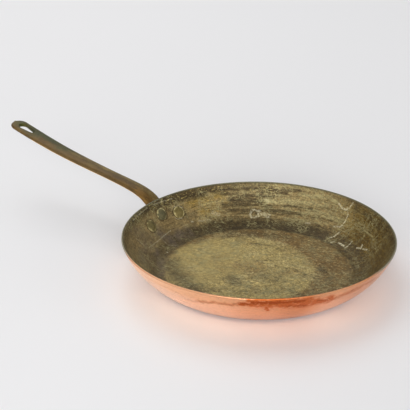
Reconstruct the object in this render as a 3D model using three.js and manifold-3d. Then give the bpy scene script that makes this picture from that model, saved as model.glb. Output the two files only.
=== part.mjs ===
// A copper frying pan with a tin lining, a cast brass handle and three copper rivets.
// Millimetres, +Z up. The origin is the centre of the base's underside, and the handle points along -X.
//
// The pan is a sheet of even thickness turned about Z: a flat base, a corner arc, then a flatter wall arc
// up to a rounded lip. The handle is a flat blank (plate, neck, waisted bar and eye) bent along one spine:
// the plate lies on the outside of the wall, then the bar leaves the wall and swings outwards.

import * as THREE from "three";
import { mergeVertices } from "three/addons/utils/BufferGeometryUtils.js";
import Module from "manifold-3d";

const wasm = await Module();
wasm.setup();

const { degToRad, lerp, smoothstep } = THREE.MathUtils;

// Clearance between two pieces that touch
const SEAT_GAP = 0.3;

// Copper body
const RIM_RADIUS = 140; // outside edge of the lip
const PAN_HEIGHT = 42; // underside of the base to the top of the lip
const WALL_RUN = 43; // level distance from the flat base's edge to the lip's outside edge
const SHEET = 1.8; // copper thickness
const CORNER_RADIUS = 24; // outside radius of the arc that lifts from the base
const CORNER_SWEEP = degToRad(34); // what that arc turns through before the wall arc takes over

// Tin lining
const TIN = 0.35;
const TIN_BELOW_LIP = 1; // the lining stops this far short of the lip's rounding

// Rivets. A drop is measured from the top of the lip down to the middle of the head inside.
const CENTRE_RIVET_DROP = 14;
const SIDE_RIVET_DROP = 18.5;
const SIDE_RIVET_SPREAD = 46.6; // between the two side rivets, round the wall
const SHANK_RADIUS = 3;
const SHANK_CLEARANCE = 0.3;
const HEAD_RADIUS = 6.8; // the dome inside the pan
const HEAD_HEIGHT = 1.6;
const PEENED_RADIUS = 5.4; // the hammered end outside
const PEENED_HEIGHT = 2.6;

// Handle plate, on the outside of the wall
const PLATE_THICKNESS = 4;
const PLATE_BESIDE_RIVET = 9.6; // metal beyond a side rivet's middle
const PLATE_BELOW_RIVET = 11.5; // metal below a side rivet's middle
const LEAVE_DROP = 6.5; // lip to the line where the bar leaves the wall
const PLATE_SEAT_ROUND = 0.5; // edge on the wall's side
const PLATE_OUTER_ROUND = 1.8;

// Handle bar. A reach is measured outwards from the lip's edge, and a rise upwards from its top.
const WAIST_REACH = 64; // where the bar is narrowest and lies flattest
const WAIST_RISE = 15.9;
const WAIST_SLOPE = degToRad(7.2);
const TIP_REACH = 216;
const TIP_RISE = 43.6;
const TIP_SLOPE = degToRad(13.9);
const BEND_START_PULL = 17.6; // how long the bar keeps the wall's slope
const BEND_END_PULL = 40; // how early it takes the waist's slope
const BAR_PULL = 70; // how long the outer stretch keeps the slope of each end
const NECK_AFTER_LEAVING = 9; // along the spine
const NECK_HALF_WIDTH = 9.7;
const WAIST_HALF_WIDTH = 7.9;
const EYE_HALF_WIDTH = 10.9;
const BEND_THICKNESS = 5.8;
const TIP_THICKNESS = 4.4;
const BAR_ROUND = 1.5; // long edges of the bar
const CROWN = 0.9; // what the bar's upper face falls from its middle to its edges
const SWELL_MARGIN = 4; // the bend thickens from this far before leaving to this far after the neck
const CROWN_GROWTH = 18; // along the spine, from where the bar leaves the wall
const WRAP_FADE = 27; // the same for the curve across the plate, which ends in the straight bar

// Outline of the handle: what share of each stretch keeps the direction of its start and of its end
const LOBE_KEEP = [0.72, 0.78];
const SHOULDER_KEEP = [0.45, 0.6];
const TAPER_KEEP = [0.12, 0.52];
const FLARE_KEEP = [0.12, 0.28];

// Hanging hole: a wide arc outwards and a narrow one inwards, joined by straight sides
const HOLE_FROM_TIP = 10.3;
const HOLE_LENGTH = 22.8;
const HOLE_WIDE_RADIUS = 5.6;
const HOLE_NARROW_RADIUS = 3.3;
const HOLE_CHAMFER = 0.5;

// Facets
const TURN_STEPS = 80; // round the pan
const CORNER_STEPS = 4;
const WALL_STEPS = 9;
const LIP_STEPS = 5;
const RIVET_STEPS = 16;
const DOME_STEPS = 4;
const FACE_STRIPS = 6; // across the handle
const EDGE_STEPS = 3; // round each long edge of the handle
const OUTLINE_STEPS = { lobe: 9, shoulder: 11, taper: 10, flare: 15, tip: 8 };
const HOLE_STEPS = { wide: 12, narrow: 8 };

// Sheet sections. A slope is a surface's angle above level: 0 at the base and steepest at the lip. An
// inset is how far a surface lies inside the sheet's middle surface.

const cornerRadius = CORNER_RADIUS - SHEET / 2;
const cornerCentre = new THREE.Vector2(RIM_RADIUS - WALL_RUN, SHEET / 2 + cornerRadius);
const lipCentre = new THREE.Vector2(RIM_RADIUS - SHEET / 2, PAN_HEIGHT - SHEET / 2);

function onArc(centre, radius, slope) {
  return new THREE.Vector2(Math.sin(slope), -Math.cos(slope)).multiplyScalar(radius).add(centre);
}

// The wall arc leaves the corner arc without a kink and ends in the middle of the lip
const cornerEnd = onArc(cornerCentre, cornerRadius, CORNER_SWEEP);
const wallChord = lipCentre.clone().sub(cornerEnd);
const lipSlope = 2 * wallChord.angle() - CORNER_SWEEP;
const wallRadius = wallChord.length() / (2 * Math.sin(wallChord.angle() - CORNER_SWEEP));
const wallCentre = cornerEnd.clone().sub(onArc(new THREE.Vector2(), wallRadius, CORNER_SWEEP));

function onSheet(slope, inset) {
  return slope < CORNER_SWEEP
    ? onArc(cornerCentre, cornerRadius - inset, slope)
    : onArc(wallCentre, wallRadius - inset, slope);
}

function slopeAtDrop(drop, inset) {
  return Math.acos((wallCentre.y - PAN_HEIGHT + drop) / (wallRadius - inset));
}

// Insets of the faces that lie on each other
const sheetInside = SHEET / 2;
const liningBack = sheetInside + SEAT_GAP;
const liningFace = liningBack + TIN;
const plateSeat = -SHEET / 2 - SEAT_GAP;
const plateOutside = plateSeat - PLATE_THICKNESS;
const stackMiddle = (liningFace + plateOutside) / 2;

// Points up one face, from the axis to a slope
function faceProfile(inset, topSlope) {
  const points = [new THREE.Vector2(0, onSheet(0, inset).y)];
  for (let i = 0; i <= CORNER_STEPS; i++) {
    points.push(onSheet(lerp(0, CORNER_SWEEP, i / CORNER_STEPS), inset));
  }
  for (let i = 1; i <= WALL_STEPS; i++) {
    points.push(onSheet(lerp(CORNER_SWEEP, topSlope, i / WALL_STEPS), inset));
  }
  return points;
}

// A bowl between two insets, with an optional rounded lip
function bowl(outerInset, innerInset, topSlope, lip = []) {
  const profile = [
    ...faceProfile(outerInset, topSlope),
    ...lip,
    ...faceProfile(innerInset, topSlope).reverse(),
  ];
  return turned(profile, TURN_STEPS);
}

// Solids

// A closed geometry as a solid, without the triangles that shrink to nothing
function toSolid(geometry) {
  geometry.deleteAttribute("normal");
  geometry.deleteAttribute("uv");
  const merged = mergeVertices(geometry, 1e-4);
  const corners = merged.index.array;
  const triVerts = [];
  for (let i = 0; i < corners.length; i += 3) {
    const [a, b, c] = corners.slice(i, i + 3);
    if (a !== b && b !== c && c !== a) {
      triVerts.push(a, b, c);
    }
  }
  return new wasm.Manifold(
    new wasm.Mesh({
      numProp: 3,
      vertProperties: Float32Array.from(merged.attributes.position.array),
      triVerts: Uint32Array.from(triVerts),
    }),
  );
}

function toGeometry(solid) {
  const { vertProperties, triVerts } = solid.getMesh();
  const geometry = new THREE.BufferGeometry();
  geometry.setAttribute("position", new THREE.BufferAttribute(vertProperties, 3));
  geometry.setIndex(new THREE.BufferAttribute(triVerts, 1));
  geometry.computeVertexNormals();
  return geometry;
}

// A profile turned about Z; its y is the height
function turned(profile, steps) {
  return toSolid(new THREE.LatheGeometry(profile, steps).rotateX(Math.PI / 2));
}

// A bar about Z, centred on a height
function rod(radius, length, middle) {
  const cylinder = new THREE.CylinderGeometry(radius, radius, length, RIVET_STEPS);
  return toSolid(cylinder.rotateX(Math.PI / 2).translate(0, 0, middle));
}

// A skin over rings of points, each ring with as many points as the next. The end rings shrink to a
// point or a line, so the skin is closed.
function skinned(rings) {
  const count = rings[0].length;
  const indices = [];
  for (let r = 0; r + 1 < rings.length; r++) {
    for (let p = 0; p < count; p++) {
      const [a, b] = [r * count + p, r * count + ((p + 1) % count)];
      indices.push(a, a + count, b + count, a, b + count, b);
    }
  }
  const geometry = new THREE.BufferGeometry().setFromPoints(rings.flat());
  return toSolid(geometry.setIndex(indices));
}

// Copper body and tin lining

function panBody() {
  const lip = [];
  for (let i = 1; i < LIP_STEPS; i++) {
    lip.push(onArc(lipCentre, SHEET / 2, lipSlope + (Math.PI * i) / LIP_STEPS));
  }
  return drilled(bowl(-SHEET / 2, sheetInside, lipSlope, lip));
}

function tinLining() {
  return drilled(bowl(liningBack, liningFace, lipSlope - TIN_BELOW_LIP / wallRadius));
}

// Rivets. Each stands along the wall's normal at its own height and turn, with its own Z pointing into
// the pan and its own origin on the sheet's middle surface.

function rivetSeat(drop, turn) {
  const slope = slopeAtDrop(drop, liningFace);
  const middle = onSheet(slope, 0);
  const tilt = new THREE.Matrix4().makeRotationY(slope);
  const shift = new THREE.Matrix4().makeTranslation(-middle.x, 0, middle.y);
  return new THREE.Matrix4().makeRotationZ(turn).multiply(shift).multiply(tilt);
}

const sideRivetSlope = slopeAtDrop(SIDE_RIVET_DROP, liningFace);
const sideRivetTurn = SIDE_RIVET_SPREAD / 2 / onSheet(sideRivetSlope, 0).x;
const rivetSeats = {
  rivet_left: rivetSeat(SIDE_RIVET_DROP, -sideRivetTurn),
  rivet_centre: rivetSeat(CENTRE_RIVET_DROP, 0),
  rivet_right: rivetSeat(SIDE_RIVET_DROP, sideRivetTurn),
};

// A piece with the bores of all three rivets
function drilled(solid) {
  const past = 6; // beyond both faces of the stack
  const bore = rod(SHANK_RADIUS + SHANK_CLEARANCE, liningFace - plateOutside + 2 * past, stackMiddle);
  return Object.values(rivetSeats).reduce(
    (rest, seat) => rest.subtract(bore.transform(seat.elements)),
    solid,
  );
}

// Part of a circle from a dome's edge up to its middle
function domeProfile(radius, height, foot) {
  const sphere = (radius ** 2 + height ** 2) / (2 * height);
  const reach = Math.asin(radius / sphere);
  const points = [];
  for (let i = 0; i <= DOME_STEPS; i++) {
    const angle = lerp(reach, 0, i / DOME_STEPS);
    const fall = sphere * (1 - Math.cos(angle));
    points.push(new THREE.Vector2(sphere * Math.sin(angle), foot + height - fall));
  }
  return points;
}

// The two heads start as one thick barrel. Cutting away the stack that they clamp, with its gaps, leaves
// each head a face that follows the curve it sits on.
function rivet(seat) {
  const bite = 0.6; // how far the shank reaches into each head
  const headFoot = liningFace + SEAT_GAP;
  const peenedFoot = SEAT_GAP - plateOutside;
  const inside = domeProfile(HEAD_RADIUS, HEAD_HEIGHT, headFoot);
  const outside = domeProfile(PEENED_RADIUS, PEENED_HEIGHT, peenedFoot).reverse();
  outside.forEach((point) => point.setY(-point.y));
  const barrel = turned(
    [...outside, new THREE.Vector2(PEENED_RADIUS, 0), new THREE.Vector2(HEAD_RADIUS, 0), ...inside],
    RIVET_STEPS,
  );
  const stack = bowl(plateOutside - SEAT_GAP, headFoot, lipSlope);
  const shank = rod(SHANK_RADIUS, headFoot + peenedFoot + 2 * bite, stackMiddle);
  return barrel
    .transform(seat.elements)
    .subtract(stack)
    .add(shank.transform(seat.elements));
}

// Handle spine: the face that starts against the wall and becomes the bar's upper face. Here x is the
// distance from the pan's axis and y the height.

const plateRadius = wallRadius - plateSeat;
const plateBottomSlope = sideRivetSlope - PLATE_BELOW_RIVET / plateRadius;
const leaveSlope = slopeAtDrop(LEAVE_DROP, plateSeat);

class WallStretch extends THREE.Curve {
  getPoint(t, target = new THREE.Vector2()) {
    return target.copy(onSheet(lerp(plateBottomSlope, leaveSlope, t), plateSeat));
  }
}

function pull(slope, distance) {
  return new THREE.Vector2(Math.cos(slope), Math.sin(slope)).multiplyScalar(distance);
}

// A stretch from one point and slope to another
function swing(start, startSlope, startPull, end, endSlope, endPull) {
  return new THREE.CubicBezierCurve(
    start,
    start.clone().add(pull(startSlope, startPull)),
    end.clone().sub(pull(endSlope, endPull)),
    end,
  );
}

const leave = onSheet(leaveSlope, plateSeat);
const waist = new THREE.Vector2(RIM_RADIUS + WAIST_REACH, PAN_HEIGHT + WAIST_RISE);
const tip = new THREE.Vector2(RIM_RADIUS + TIP_REACH, PAN_HEIGHT + TIP_RISE);
const spine = new THREE.CurvePath();
spine.add(new WallStretch());
spine.add(swing(leave, leaveSlope, BEND_START_PULL, waist, WAIST_SLOPE, BEND_END_PULL));
spine.add(swing(waist, WAIST_SLOPE, BAR_PULL, tip, TIP_SLOPE, BAR_PULL));

// Places along the spine, from the plate's bottom edge
const [leaveAt, waistAt, spineLength] = spine.getCurveLengths();
const lobeAt = PLATE_BELOW_RIVET;
const neckAt = leaveAt + NECK_AFTER_LEAVING;
const eyeAt = spineLength - EYE_HALF_WIDTH;

function thicknessAt(at) {
  const swell = smoothstep(at, leaveAt - SWELL_MARGIN, neckAt + SWELL_MARGIN);
  const thinning = (BEND_THICKNESS - TIP_THICKNESS) * smoothstep(at, neckAt, spineLength);
  return lerp(PLATE_THICKNESS, BEND_THICKNESS, swell) - thinning;
}

// A point of the blank, by its place along the spine, its offset across and its depth under the spine's
// face, bent into place. The plate also wraps round the wall; the bar is straight across.
function bent(at, across, depth) {
  const t = at / spineLength;
  const onSpine = spine.getPoint(t);
  const slope = spine.getTangent(t).angle();
  const point = onArc(onSpine, depth, slope);
  const wrap = 1 - smoothstep(at, leaveAt, leaveAt + WRAP_FADE);
  const turn = across / onSpine.x;
  const out = lerp(point.x, point.x * Math.cos(turn), wrap);
  const side = lerp(across, point.x * Math.sin(turn), wrap);
  return new THREE.Vector3(-out, -side, point.y);
}

// One side of the blank's outline, from the plate's bottom edge to the tip: x along, y across
function blankOutline() {
  const start = new THREE.Vector2(0, 0);
  const lobe = new THREE.Vector2(lobeAt, SIDE_RIVET_SPREAD / 2 + PLATE_BESIDE_RIVET);
  const neck = new THREE.Vector2(neckAt, NECK_HALF_WIDTH);
  const waistEdge = new THREE.Vector2(waistAt, WAIST_HALF_WIDTH);
  const eye = new THREE.Vector2(eyeAt, EYE_HALF_WIDTH);

  // From width to width, level at both ends
  const eased = (from, to, [keepStart, keepEnd]) => {
    const length = to.x - from.x;
    const first = new THREE.Vector2(from.x + keepStart * length, from.y);
    const last = new THREE.Vector2(to.x - keepEnd * length, to.y);
    return new THREE.CubicBezierCurve(from, first, last, to);
  };
  const [keepBottom, keepSide] = LOBE_KEEP;
  const stretches = {
    lobe: new THREE.CubicBezierCurve(
      start,
      new THREE.Vector2(0, keepBottom * lobe.y),
      new THREE.Vector2((1 - keepSide) * lobe.x, lobe.y),
      lobe,
    ),
    shoulder: eased(lobe, neck, SHOULDER_KEEP),
    taper: eased(neck, waistEdge, TAPER_KEEP),
    flare: eased(waistEdge, eye, FLARE_KEEP),
    tip: new THREE.EllipseCurve(eye.x, 0, eye.y, eye.y, Math.PI / 2, 0, true),
  };
  const outline = Object.entries(stretches).flatMap(([name, curve]) =>
    curve.getPoints(OUTLINE_STEPS[name]).slice(1),
  );
  return [start, ...outline];
}

// An outline point moved in along its normal
function movedIn(outline, i, inset) {
  const ahead = outline[i + 1] ?? new THREE.Vector2(outline[i - 1].x, -outline[i - 1].y);
  const behind = outline[i - 1] ?? new THREE.Vector2(outline[i + 1].x, -outline[i + 1].y);
  const along = ahead.clone().sub(behind).normalize();
  return new THREE.Vector2(along.y, -along.x).multiplyScalar(inset).add(outline[i]);
}

// Steps round a station's edge, from the upper face to the under face
function edgeSteps(at, thickness) {
  const upper = lerp(PLATE_SEAT_ROUND, BAR_ROUND, smoothstep(at, leaveAt, neckAt));
  const under = lerp(PLATE_OUTER_ROUND, BAR_ROUND, smoothstep(at, leaveAt, neckAt));
  const quarter = Array.from({ length: EDGE_STEPS + 1 }, (_, i) => (Math.PI / 2) * (i / EDGE_STEPS));
  return [
    ...quarter.map((angle) => [upper * (1 - Math.sin(angle)), upper * (1 - Math.cos(angle))]),
    ...quarter.map((angle) => [under * (1 - Math.cos(angle)), thickness - under * (1 - Math.sin(angle))]),
  ];
}

// One ring of the blank's skin: over the upper face, round an edge, back under and round the other edge
function stationRing(outline, i) {
  const { x: station, y: halfWidth } = outline[i];
  const thickness = thicknessAt(station);
  const crown = CROWN * smoothstep(station, leaveAt, leaveAt + CROWN_GROWTH);
  const edge = edgeSteps(station, thickness).map(([inset, depth]) => {
    const { x: at, y: across } = movedIn(outline, i, inset);
    return { at, across, depth };
  });
  const place = ({ at, across, depth }, share) => {
    const fall = crown * ((share * across) / Math.max(halfWidth, across, 1)) ** 2;
    return bent(at, share * across, depth + fall * (1 - depth / thickness));
  };
  const face = (point, way) =>
    Array.from({ length: FACE_STRIPS }, (_, k) => place(point, way * ((2 * k) / FACE_STRIPS - 1)));
  return [
    ...face(edge[0], 1),
    ...edge.slice(0, -1).map((point) => place(point, 1)),
    ...face(edge.at(-1), -1),
    ...edge.slice(1).reverse().map((point) => place(point, -1)),
  ];
}

// The hanging hole's outline, grown by an outset
function holeOutline(outset) {
  const wideAt = spineLength - HOLE_FROM_TIP - HOLE_WIDE_RADIUS;
  const narrowAt = spineLength - HOLE_FROM_TIP - HOLE_LENGTH + HOLE_NARROW_RADIUS;
  const tangent = Math.PI / 2 + Math.asin((HOLE_WIDE_RADIUS - HOLE_NARROW_RADIUS) / (wideAt - narrowAt));
  const arc = (centre, radius, from, to, steps) =>
    new THREE.EllipseCurve(centre, 0, radius + outset, radius + outset, from, to).getPoints(steps);
  return [
    ...arc(wideAt, HOLE_WIDE_RADIUS, -tangent, tangent, HOLE_STEPS.wide),
    ...arc(narrowAt, HOLE_NARROW_RADIUS, tangent, 2 * Math.PI - tangent, HOLE_STEPS.narrow),
  ];
}

// A plug the shape of the hole, flared at both faces
function holePlug() {
  const past = 2; // beyond both faces
  const flare = HOLE_CHAMFER + past;
  const ring = (outset, depth) => holeOutline(outset).map(({ x, y }) => bent(x, y, depth));
  const point = (depth) => {
    const middle = bent(spineLength - HOLE_FROM_TIP - HOLE_LENGTH / 2, 0, depth);
    return holeOutline(0).map(() => middle);
  };
  const thickness = thicknessAt(eyeAt);
  return skinned([
    point(-past),
    ring(flare, -past),
    ring(0, HOLE_CHAMFER),
    ring(0, thickness - HOLE_CHAMFER),
    ring(flare, thickness + past),
    point(thickness + past),
  ]);
}

function handle() {
  const outline = blankOutline();
  const blank = skinned(outline.map((_, i) => stationRing(outline, i)));
  return drilled(blank.subtract(holePlug()));
}

// Assembly

const copper = { color: 0xc98562, roughness: 0.38, metalness: 1 };
const tarnishedTin = { color: 0x7d7456, roughness: 0.6, metalness: 0.7 };
const brass = { color: 0x8a7444, roughness: 0.5, metalness: 1 };
const tinnedCopper = { color: 0x857a58, roughness: 0.55, metalness: 0.8 };

function piece(name, solid, finish) {
  const mesh = new THREE.Mesh(toGeometry(solid), new THREE.MeshStandardMaterial(finish));
  mesh.name = name;
  return mesh;
}

const pan = new THREE.Group();
pan.add(piece("pan_body", panBody(), copper));
pan.add(piece("tin_lining", tinLining(), tarnishedTin));
pan.add(piece("handle", handle(), brass));
for (const [name, seat] of Object.entries(rivetSeats)) {
  pan.add(piece(name, rivet(seat), tinnedCopper));
}

export default pan;
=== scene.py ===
"""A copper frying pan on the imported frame: spun body, wiped tin lining, cast handle and rivets.

Metres, +Z up. The origin is the centre of the base's underside, and the handle points along -X.
"""

import math

import bmesh
import bpy
import numpy as np
from bpy.props import FloatProperty, FloatVectorProperty, IntProperty, PointerProperty
from mathutils import Matrix, Vector


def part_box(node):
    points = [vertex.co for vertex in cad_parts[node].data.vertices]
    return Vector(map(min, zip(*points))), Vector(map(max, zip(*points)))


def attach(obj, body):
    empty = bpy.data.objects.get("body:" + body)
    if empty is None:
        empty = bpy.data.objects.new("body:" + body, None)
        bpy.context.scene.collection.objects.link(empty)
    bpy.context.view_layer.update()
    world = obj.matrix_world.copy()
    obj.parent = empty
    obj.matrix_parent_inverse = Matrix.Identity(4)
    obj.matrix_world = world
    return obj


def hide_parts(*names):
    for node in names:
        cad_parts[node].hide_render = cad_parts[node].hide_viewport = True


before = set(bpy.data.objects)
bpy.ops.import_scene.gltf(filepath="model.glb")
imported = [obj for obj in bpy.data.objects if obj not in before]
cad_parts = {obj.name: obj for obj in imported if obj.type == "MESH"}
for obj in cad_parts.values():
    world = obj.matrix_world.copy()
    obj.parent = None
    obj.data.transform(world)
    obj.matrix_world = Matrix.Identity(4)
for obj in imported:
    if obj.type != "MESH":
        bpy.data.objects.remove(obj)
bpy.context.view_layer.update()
BODY_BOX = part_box("pan_body")

bl_info = {
    "name": "Copper frying pan",
    "version": (1, 0, 0),
    "blender": (4, 5, 0),
    "location": "View3D > Sidebar > Frying pan",
    "description": "Builds a tinned copper frying pan with a riveted brass handle, piece by piece",
    "category": "Add Mesh",
}

MM = 0.001
PHOTO_PIXELS = 410  # the photograph's width and height


# Sizes and colours that a user would change


def named(group):
    """Labels each setting of a group with its field's name."""
    for field, setting in group.__annotations__.items():
        setting.keywords["name"] = field.replace("_", " ").capitalize()
    return group


def length(millimetres, description):
    """A length setting, given in millimetres and kept in metres."""
    kind = {"precision": 5, "subtype": "DISTANCE", "unit": "LENGTH"}
    return FloatProperty(description=description, default=millimetres * MM, **kind)


def angle(degrees, description):
    """An angle setting, given in degrees."""
    kind = {"subtype": "ANGLE", "unit": "ROTATION"}
    return FloatProperty(description=description, default=math.radians(degrees), **kind)


def linear(hex_colour):
    """An sRGB hex colour as linear red, green and blue."""
    parts = [int(hex_colour[i : i + 2], 16) / 255 for i in (1, 3, 5)]
    return [c / 12.92 if c <= 0.04045 else ((c + 0.055) / 1.055) ** 2.4 for c in parts]


def colour(hex_colour, description):
    """A colour setting, given as an sRGB hex value."""
    kind = {"size": 3, "min": 0, "max": 1, "subtype": "COLOR"}
    return FloatVectorProperty(description=description, default=linear(hex_colour), **kind)


@named
class SheetSizes(bpy.types.PropertyGroup):
    """The copper sheet: a flat base, a corner arc, a flatter wall arc and a rounded lip."""

    rim_radius: length(BODY_BOX[1].x / MM, "Outside edge of the lip")
    height: length(BODY_BOX[1].z / MM, "Underside of the base to the top of the lip")
    wall_run: length(43, "Level distance from the flat base to the lip's edge")
    sheet: length(1.8, "Thickness of the copper")
    corner_radius: length(24, "Outside radius of the arc that lifts from the base")
    corner_sweep: angle(34, "What that arc turns through before the wall arc")
    turn_steps: IntProperty(description="Faces round the pan", default=288)


@named
class LiningSizes(bpy.types.PropertyGroup):
    """The coat of tin inside."""

    gap: length(0.3, "Clearance behind the lining")
    thickness: length(0.35, "Thickness of the tin")
    below_lip: length(1, "The lining stops this far short of the lip's rounding")


@named
class RivetSizes(bpy.types.PropertyGroup):
    """Three rivets through handle, copper and tin. A drop is measured down from the top of the lip."""

    centre_drop: length(14, "Lip to the middle rivet's head")
    side_drop: length(18.5, "Lip to the side rivets' heads")
    side_spread: length(46.6, "Between the side rivets, round the wall")
    shank_radius: length(3, "Rivet shank")
    bore_clearance: length(0.3, "Bore beyond the shank")
    head_radius: length(6.8, "Dome inside the pan")
    head_height: length(1.6, "Rise of the dome inside the pan")
    flange_width: length(1.1, "Flat rim that the hammer left round the dome")
    flange_height: length(0.4, "Thickness of that rim")
    peened_radius: length(5.4, "Hammered end outside")
    peened_height: length(2.6, "Rise of the hammered end")


@named
class HandleSizes(bpy.types.PropertyGroup):
    """The handle: a blank with a plate, a neck, a waist and an eye, bent along one spine."""

    plate_thickness: length(4, "The plate on the wall")
    beside_rivet: length(9.6, "Metal beyond a side rivet's middle")
    below_rivet: length(11.5, "Metal below a side rivet's middle")
    leave_drop: length(6.5, "Lip to the line where the bar leaves the wall")
    seat_round: length(0.5, "Edge on the wall's side")
    outer_round: length(1.8, "The plate's outer edge")
    waist_reach: length(64, "Lip's edge out to the narrowest place")
    waist_rise: length(15.9, "Lip's top up to that place")
    waist_slope: angle(7.2, "Slope of the bar at that place")
    tip_reach: length(215.9, "Lip's edge out to the tip")
    tip_rise: length(43.55, "Lip's top up to the tip")
    tip_slope: angle(13.9, "Slope of the bar at the tip")
    bend_start_pull: length(17.6, "How long the bar keeps the wall's slope")
    bend_end_pull: length(40, "How early it takes the waist's slope")
    bar_pull: length(70, "How long the outer stretch keeps the slope of each end")
    neck_after: length(9, "Along the spine to the neck")
    neck_half: length(9.7, "Half the neck")
    waist_half: length(7.9, "Half the waist")
    eye_half: length(10.85, "Half the eye, which is also the tip's radius")
    bend_thickness: length(5.8, "Thickness past the bend")
    tip_thickness: length(4.4, "Thickness at the tip")
    bar_round: length(2.1, "Long edges of the bar")
    crown: length(1.1, "Fall of the upper face from its middle to its edges")
    hole_from_tip: length(10.3, "Metal between the hanging hole and the tip")
    hole_length: length(22.8, "Hanging hole along the handle")
    hole_wide: length(5.6, "Its outer end")
    hole_narrow: length(3.3, "Its inner end")
    hole_round: length(0.5, "Rounded edge of the hole")


@named
class CopperFinish(bpy.types.PropertyGroup):
    """Colours of the copper body."""

    rubbed: colour("#FFD8BC", "The wall, rubbed bright")
    warm: colour("#FFCB9E", "The band below the lip, less rubbed")
    heated: colour("#D9996C", "Copper that the fire has turned more orange")
    # Painted reflection for the thin dark line round the wall, where the wall's reflection of the table
    # changes; the same colour also tints specks and a band below the lip
    line: colour("#B5744C", "A thin line that a wet cloth left round the wall")
    burn: colour("#C46C38", "Food that burnt on below the lip")
    burn_heart: colour("#A85224", "The thickest of it")
    # Painted shade: a dark line at the foot of the wall, where the pan meets the table
    grime: colour("#8A4A34", "Dirt where the wall meets the base")
    lip: colour("#7C785E", "Tin worn thin over the lip")
    tinned_lip: colour("#A79E8B", "Tin left thick over the lip, where nothing rubs it")
    base: colour("#A87558", "The underside, darkened by the fire")


@named
class TinFinish(bpy.types.PropertyGroup):
    """Colours of the tin lining."""

    floor: colour("#AC985E", "The part of the floor that a spoon keeps rubbed")
    floor_edge: colour("#7A6136", "The rest of the floor")
    grey: colour("#87845F", "Patches of greyer tin on the floor")
    stain: colour("#7A5A2C", "Brown stains on the floor")
    pale: colour("#C2B27E", "Strokes of a scourer on the floor")
    ring: colour("#46391F", "Fat browned in the corner")
    # Partly greyer tin, partly painted shade: darker patches on the wall below the handle
    grey_brown: colour("#675A49", "Greyer fat below the handle")
    wall: colour("#8C774D", "The wall")
    # Painted shade: the wall across from the handle is darkened
    shaded: colour("#5F480F", "The wall across from the handle, browned most")
    wiped: colour("#9E9568", "Streaks that the wiping cloth left")
    streak: colour("#3C2F16", "Brown streaks between them")
    golden: colour("#8F7638", "Patches warmed to gold")
    fleck: colour("#B5A05C", "Flecks of golden tin below the lip")
    mark: colour("#E4DCB8", "Scratches down to fresh tin")


@named
class BrassFinish(bpy.types.PropertyGroup):
    """Colours of the brass handle."""

    top: colour("#504725", "The upper face, dull with handling")
    # Painted reflection: the near half of the bar browner and darker, the far half greyer and lighter, as
    # its crown reflects a dark room and a bright table
    brown: colour("#684C28", "The side that faces a right-handed cook")
    dusty: colour("#766338", "The other side of the bar, greyer with old polish")
    bend: colour("#54401F", "Darker brown where the bar starts to bend")
    side: colour("#65502E", "The long sides")
    green: colour("#4A4E2F", "Verdigris round the hole and along the handle")
    hole: colour("#3E4016", "The wall of the hanging hole")
    # Partly rubbed brass, partly painted highlight along the lower rounding of the bar
    worn: colour("#F0CC8E", "Lower edges rubbed to bright brass")
    root: colour("#705325", "Warm brass near the pan")


@named
class RivetFinish(bpy.types.PropertyGroup):
    """Colours of the rivets."""

    head: colour("#5E583A", "Browned tin on the head")
    # Partly tin rubbed bare, partly painted highlight: the light ring round each head
    rim: colour("#B8AA76", "The head's rim, where the tin is rubbed bare")
    # Partly golden tin, partly painted highlight: a golden tint on the side rivets, strongest on the right
    # one
    golden: colour("#7A6832", "Tin warmed to gold on the side rivets")


@named
class StageSettings(bpy.types.PropertyGroup):
    """Camera, lights and floor. The camera looks at the pan from the photograph's angle."""

    azimuth: angle(38.6, "Camera's turn round the pan")
    elevation: angle(23.82, "Camera's height above the horizon")
    distance: length(1262, "Camera to the pan's base")
    table_radius: length(8000, "The round table top")
    focal_pixels: FloatProperty(description="Focal length in pixels of the photograph", default=1220)
    base_pixel: FloatVectorProperty(
        description="Where the base's centre lies in the photograph", default=(257.9, 271.0), size=2
    )


class FryingPan(bpy.types.PropertyGroup):
    """All settings of the pan."""

    sheet: PointerProperty(type=SheetSizes)
    lining: PointerProperty(type=LiningSizes)
    rivets: PointerProperty(type=RivetSizes)
    handle: PointerProperty(type=HandleSizes)
    copper: PointerProperty(type=CopperFinish)
    tin: PointerProperty(type=TinFinish)
    brass: PointerProperty(type=BrassFinish)
    rivet: PointerProperty(type=RivetFinish)
    stage: PointerProperty(type=StageSettings)


# Sections of the sheet. A slope is a surface's angle above level: 0 at the base and steepest at the
# lip. An inset is how far a surface lies inside the sheet's middle surface.


def on_arc(centre, radius, slope):
    """Points of an arc in the section plane, as distance from the axis and height."""
    slope = np.asarray(slope, float)
    return np.stack([centre[0] + radius * np.sin(slope), centre[1] - radius * np.cos(slope)], -1)


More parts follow.
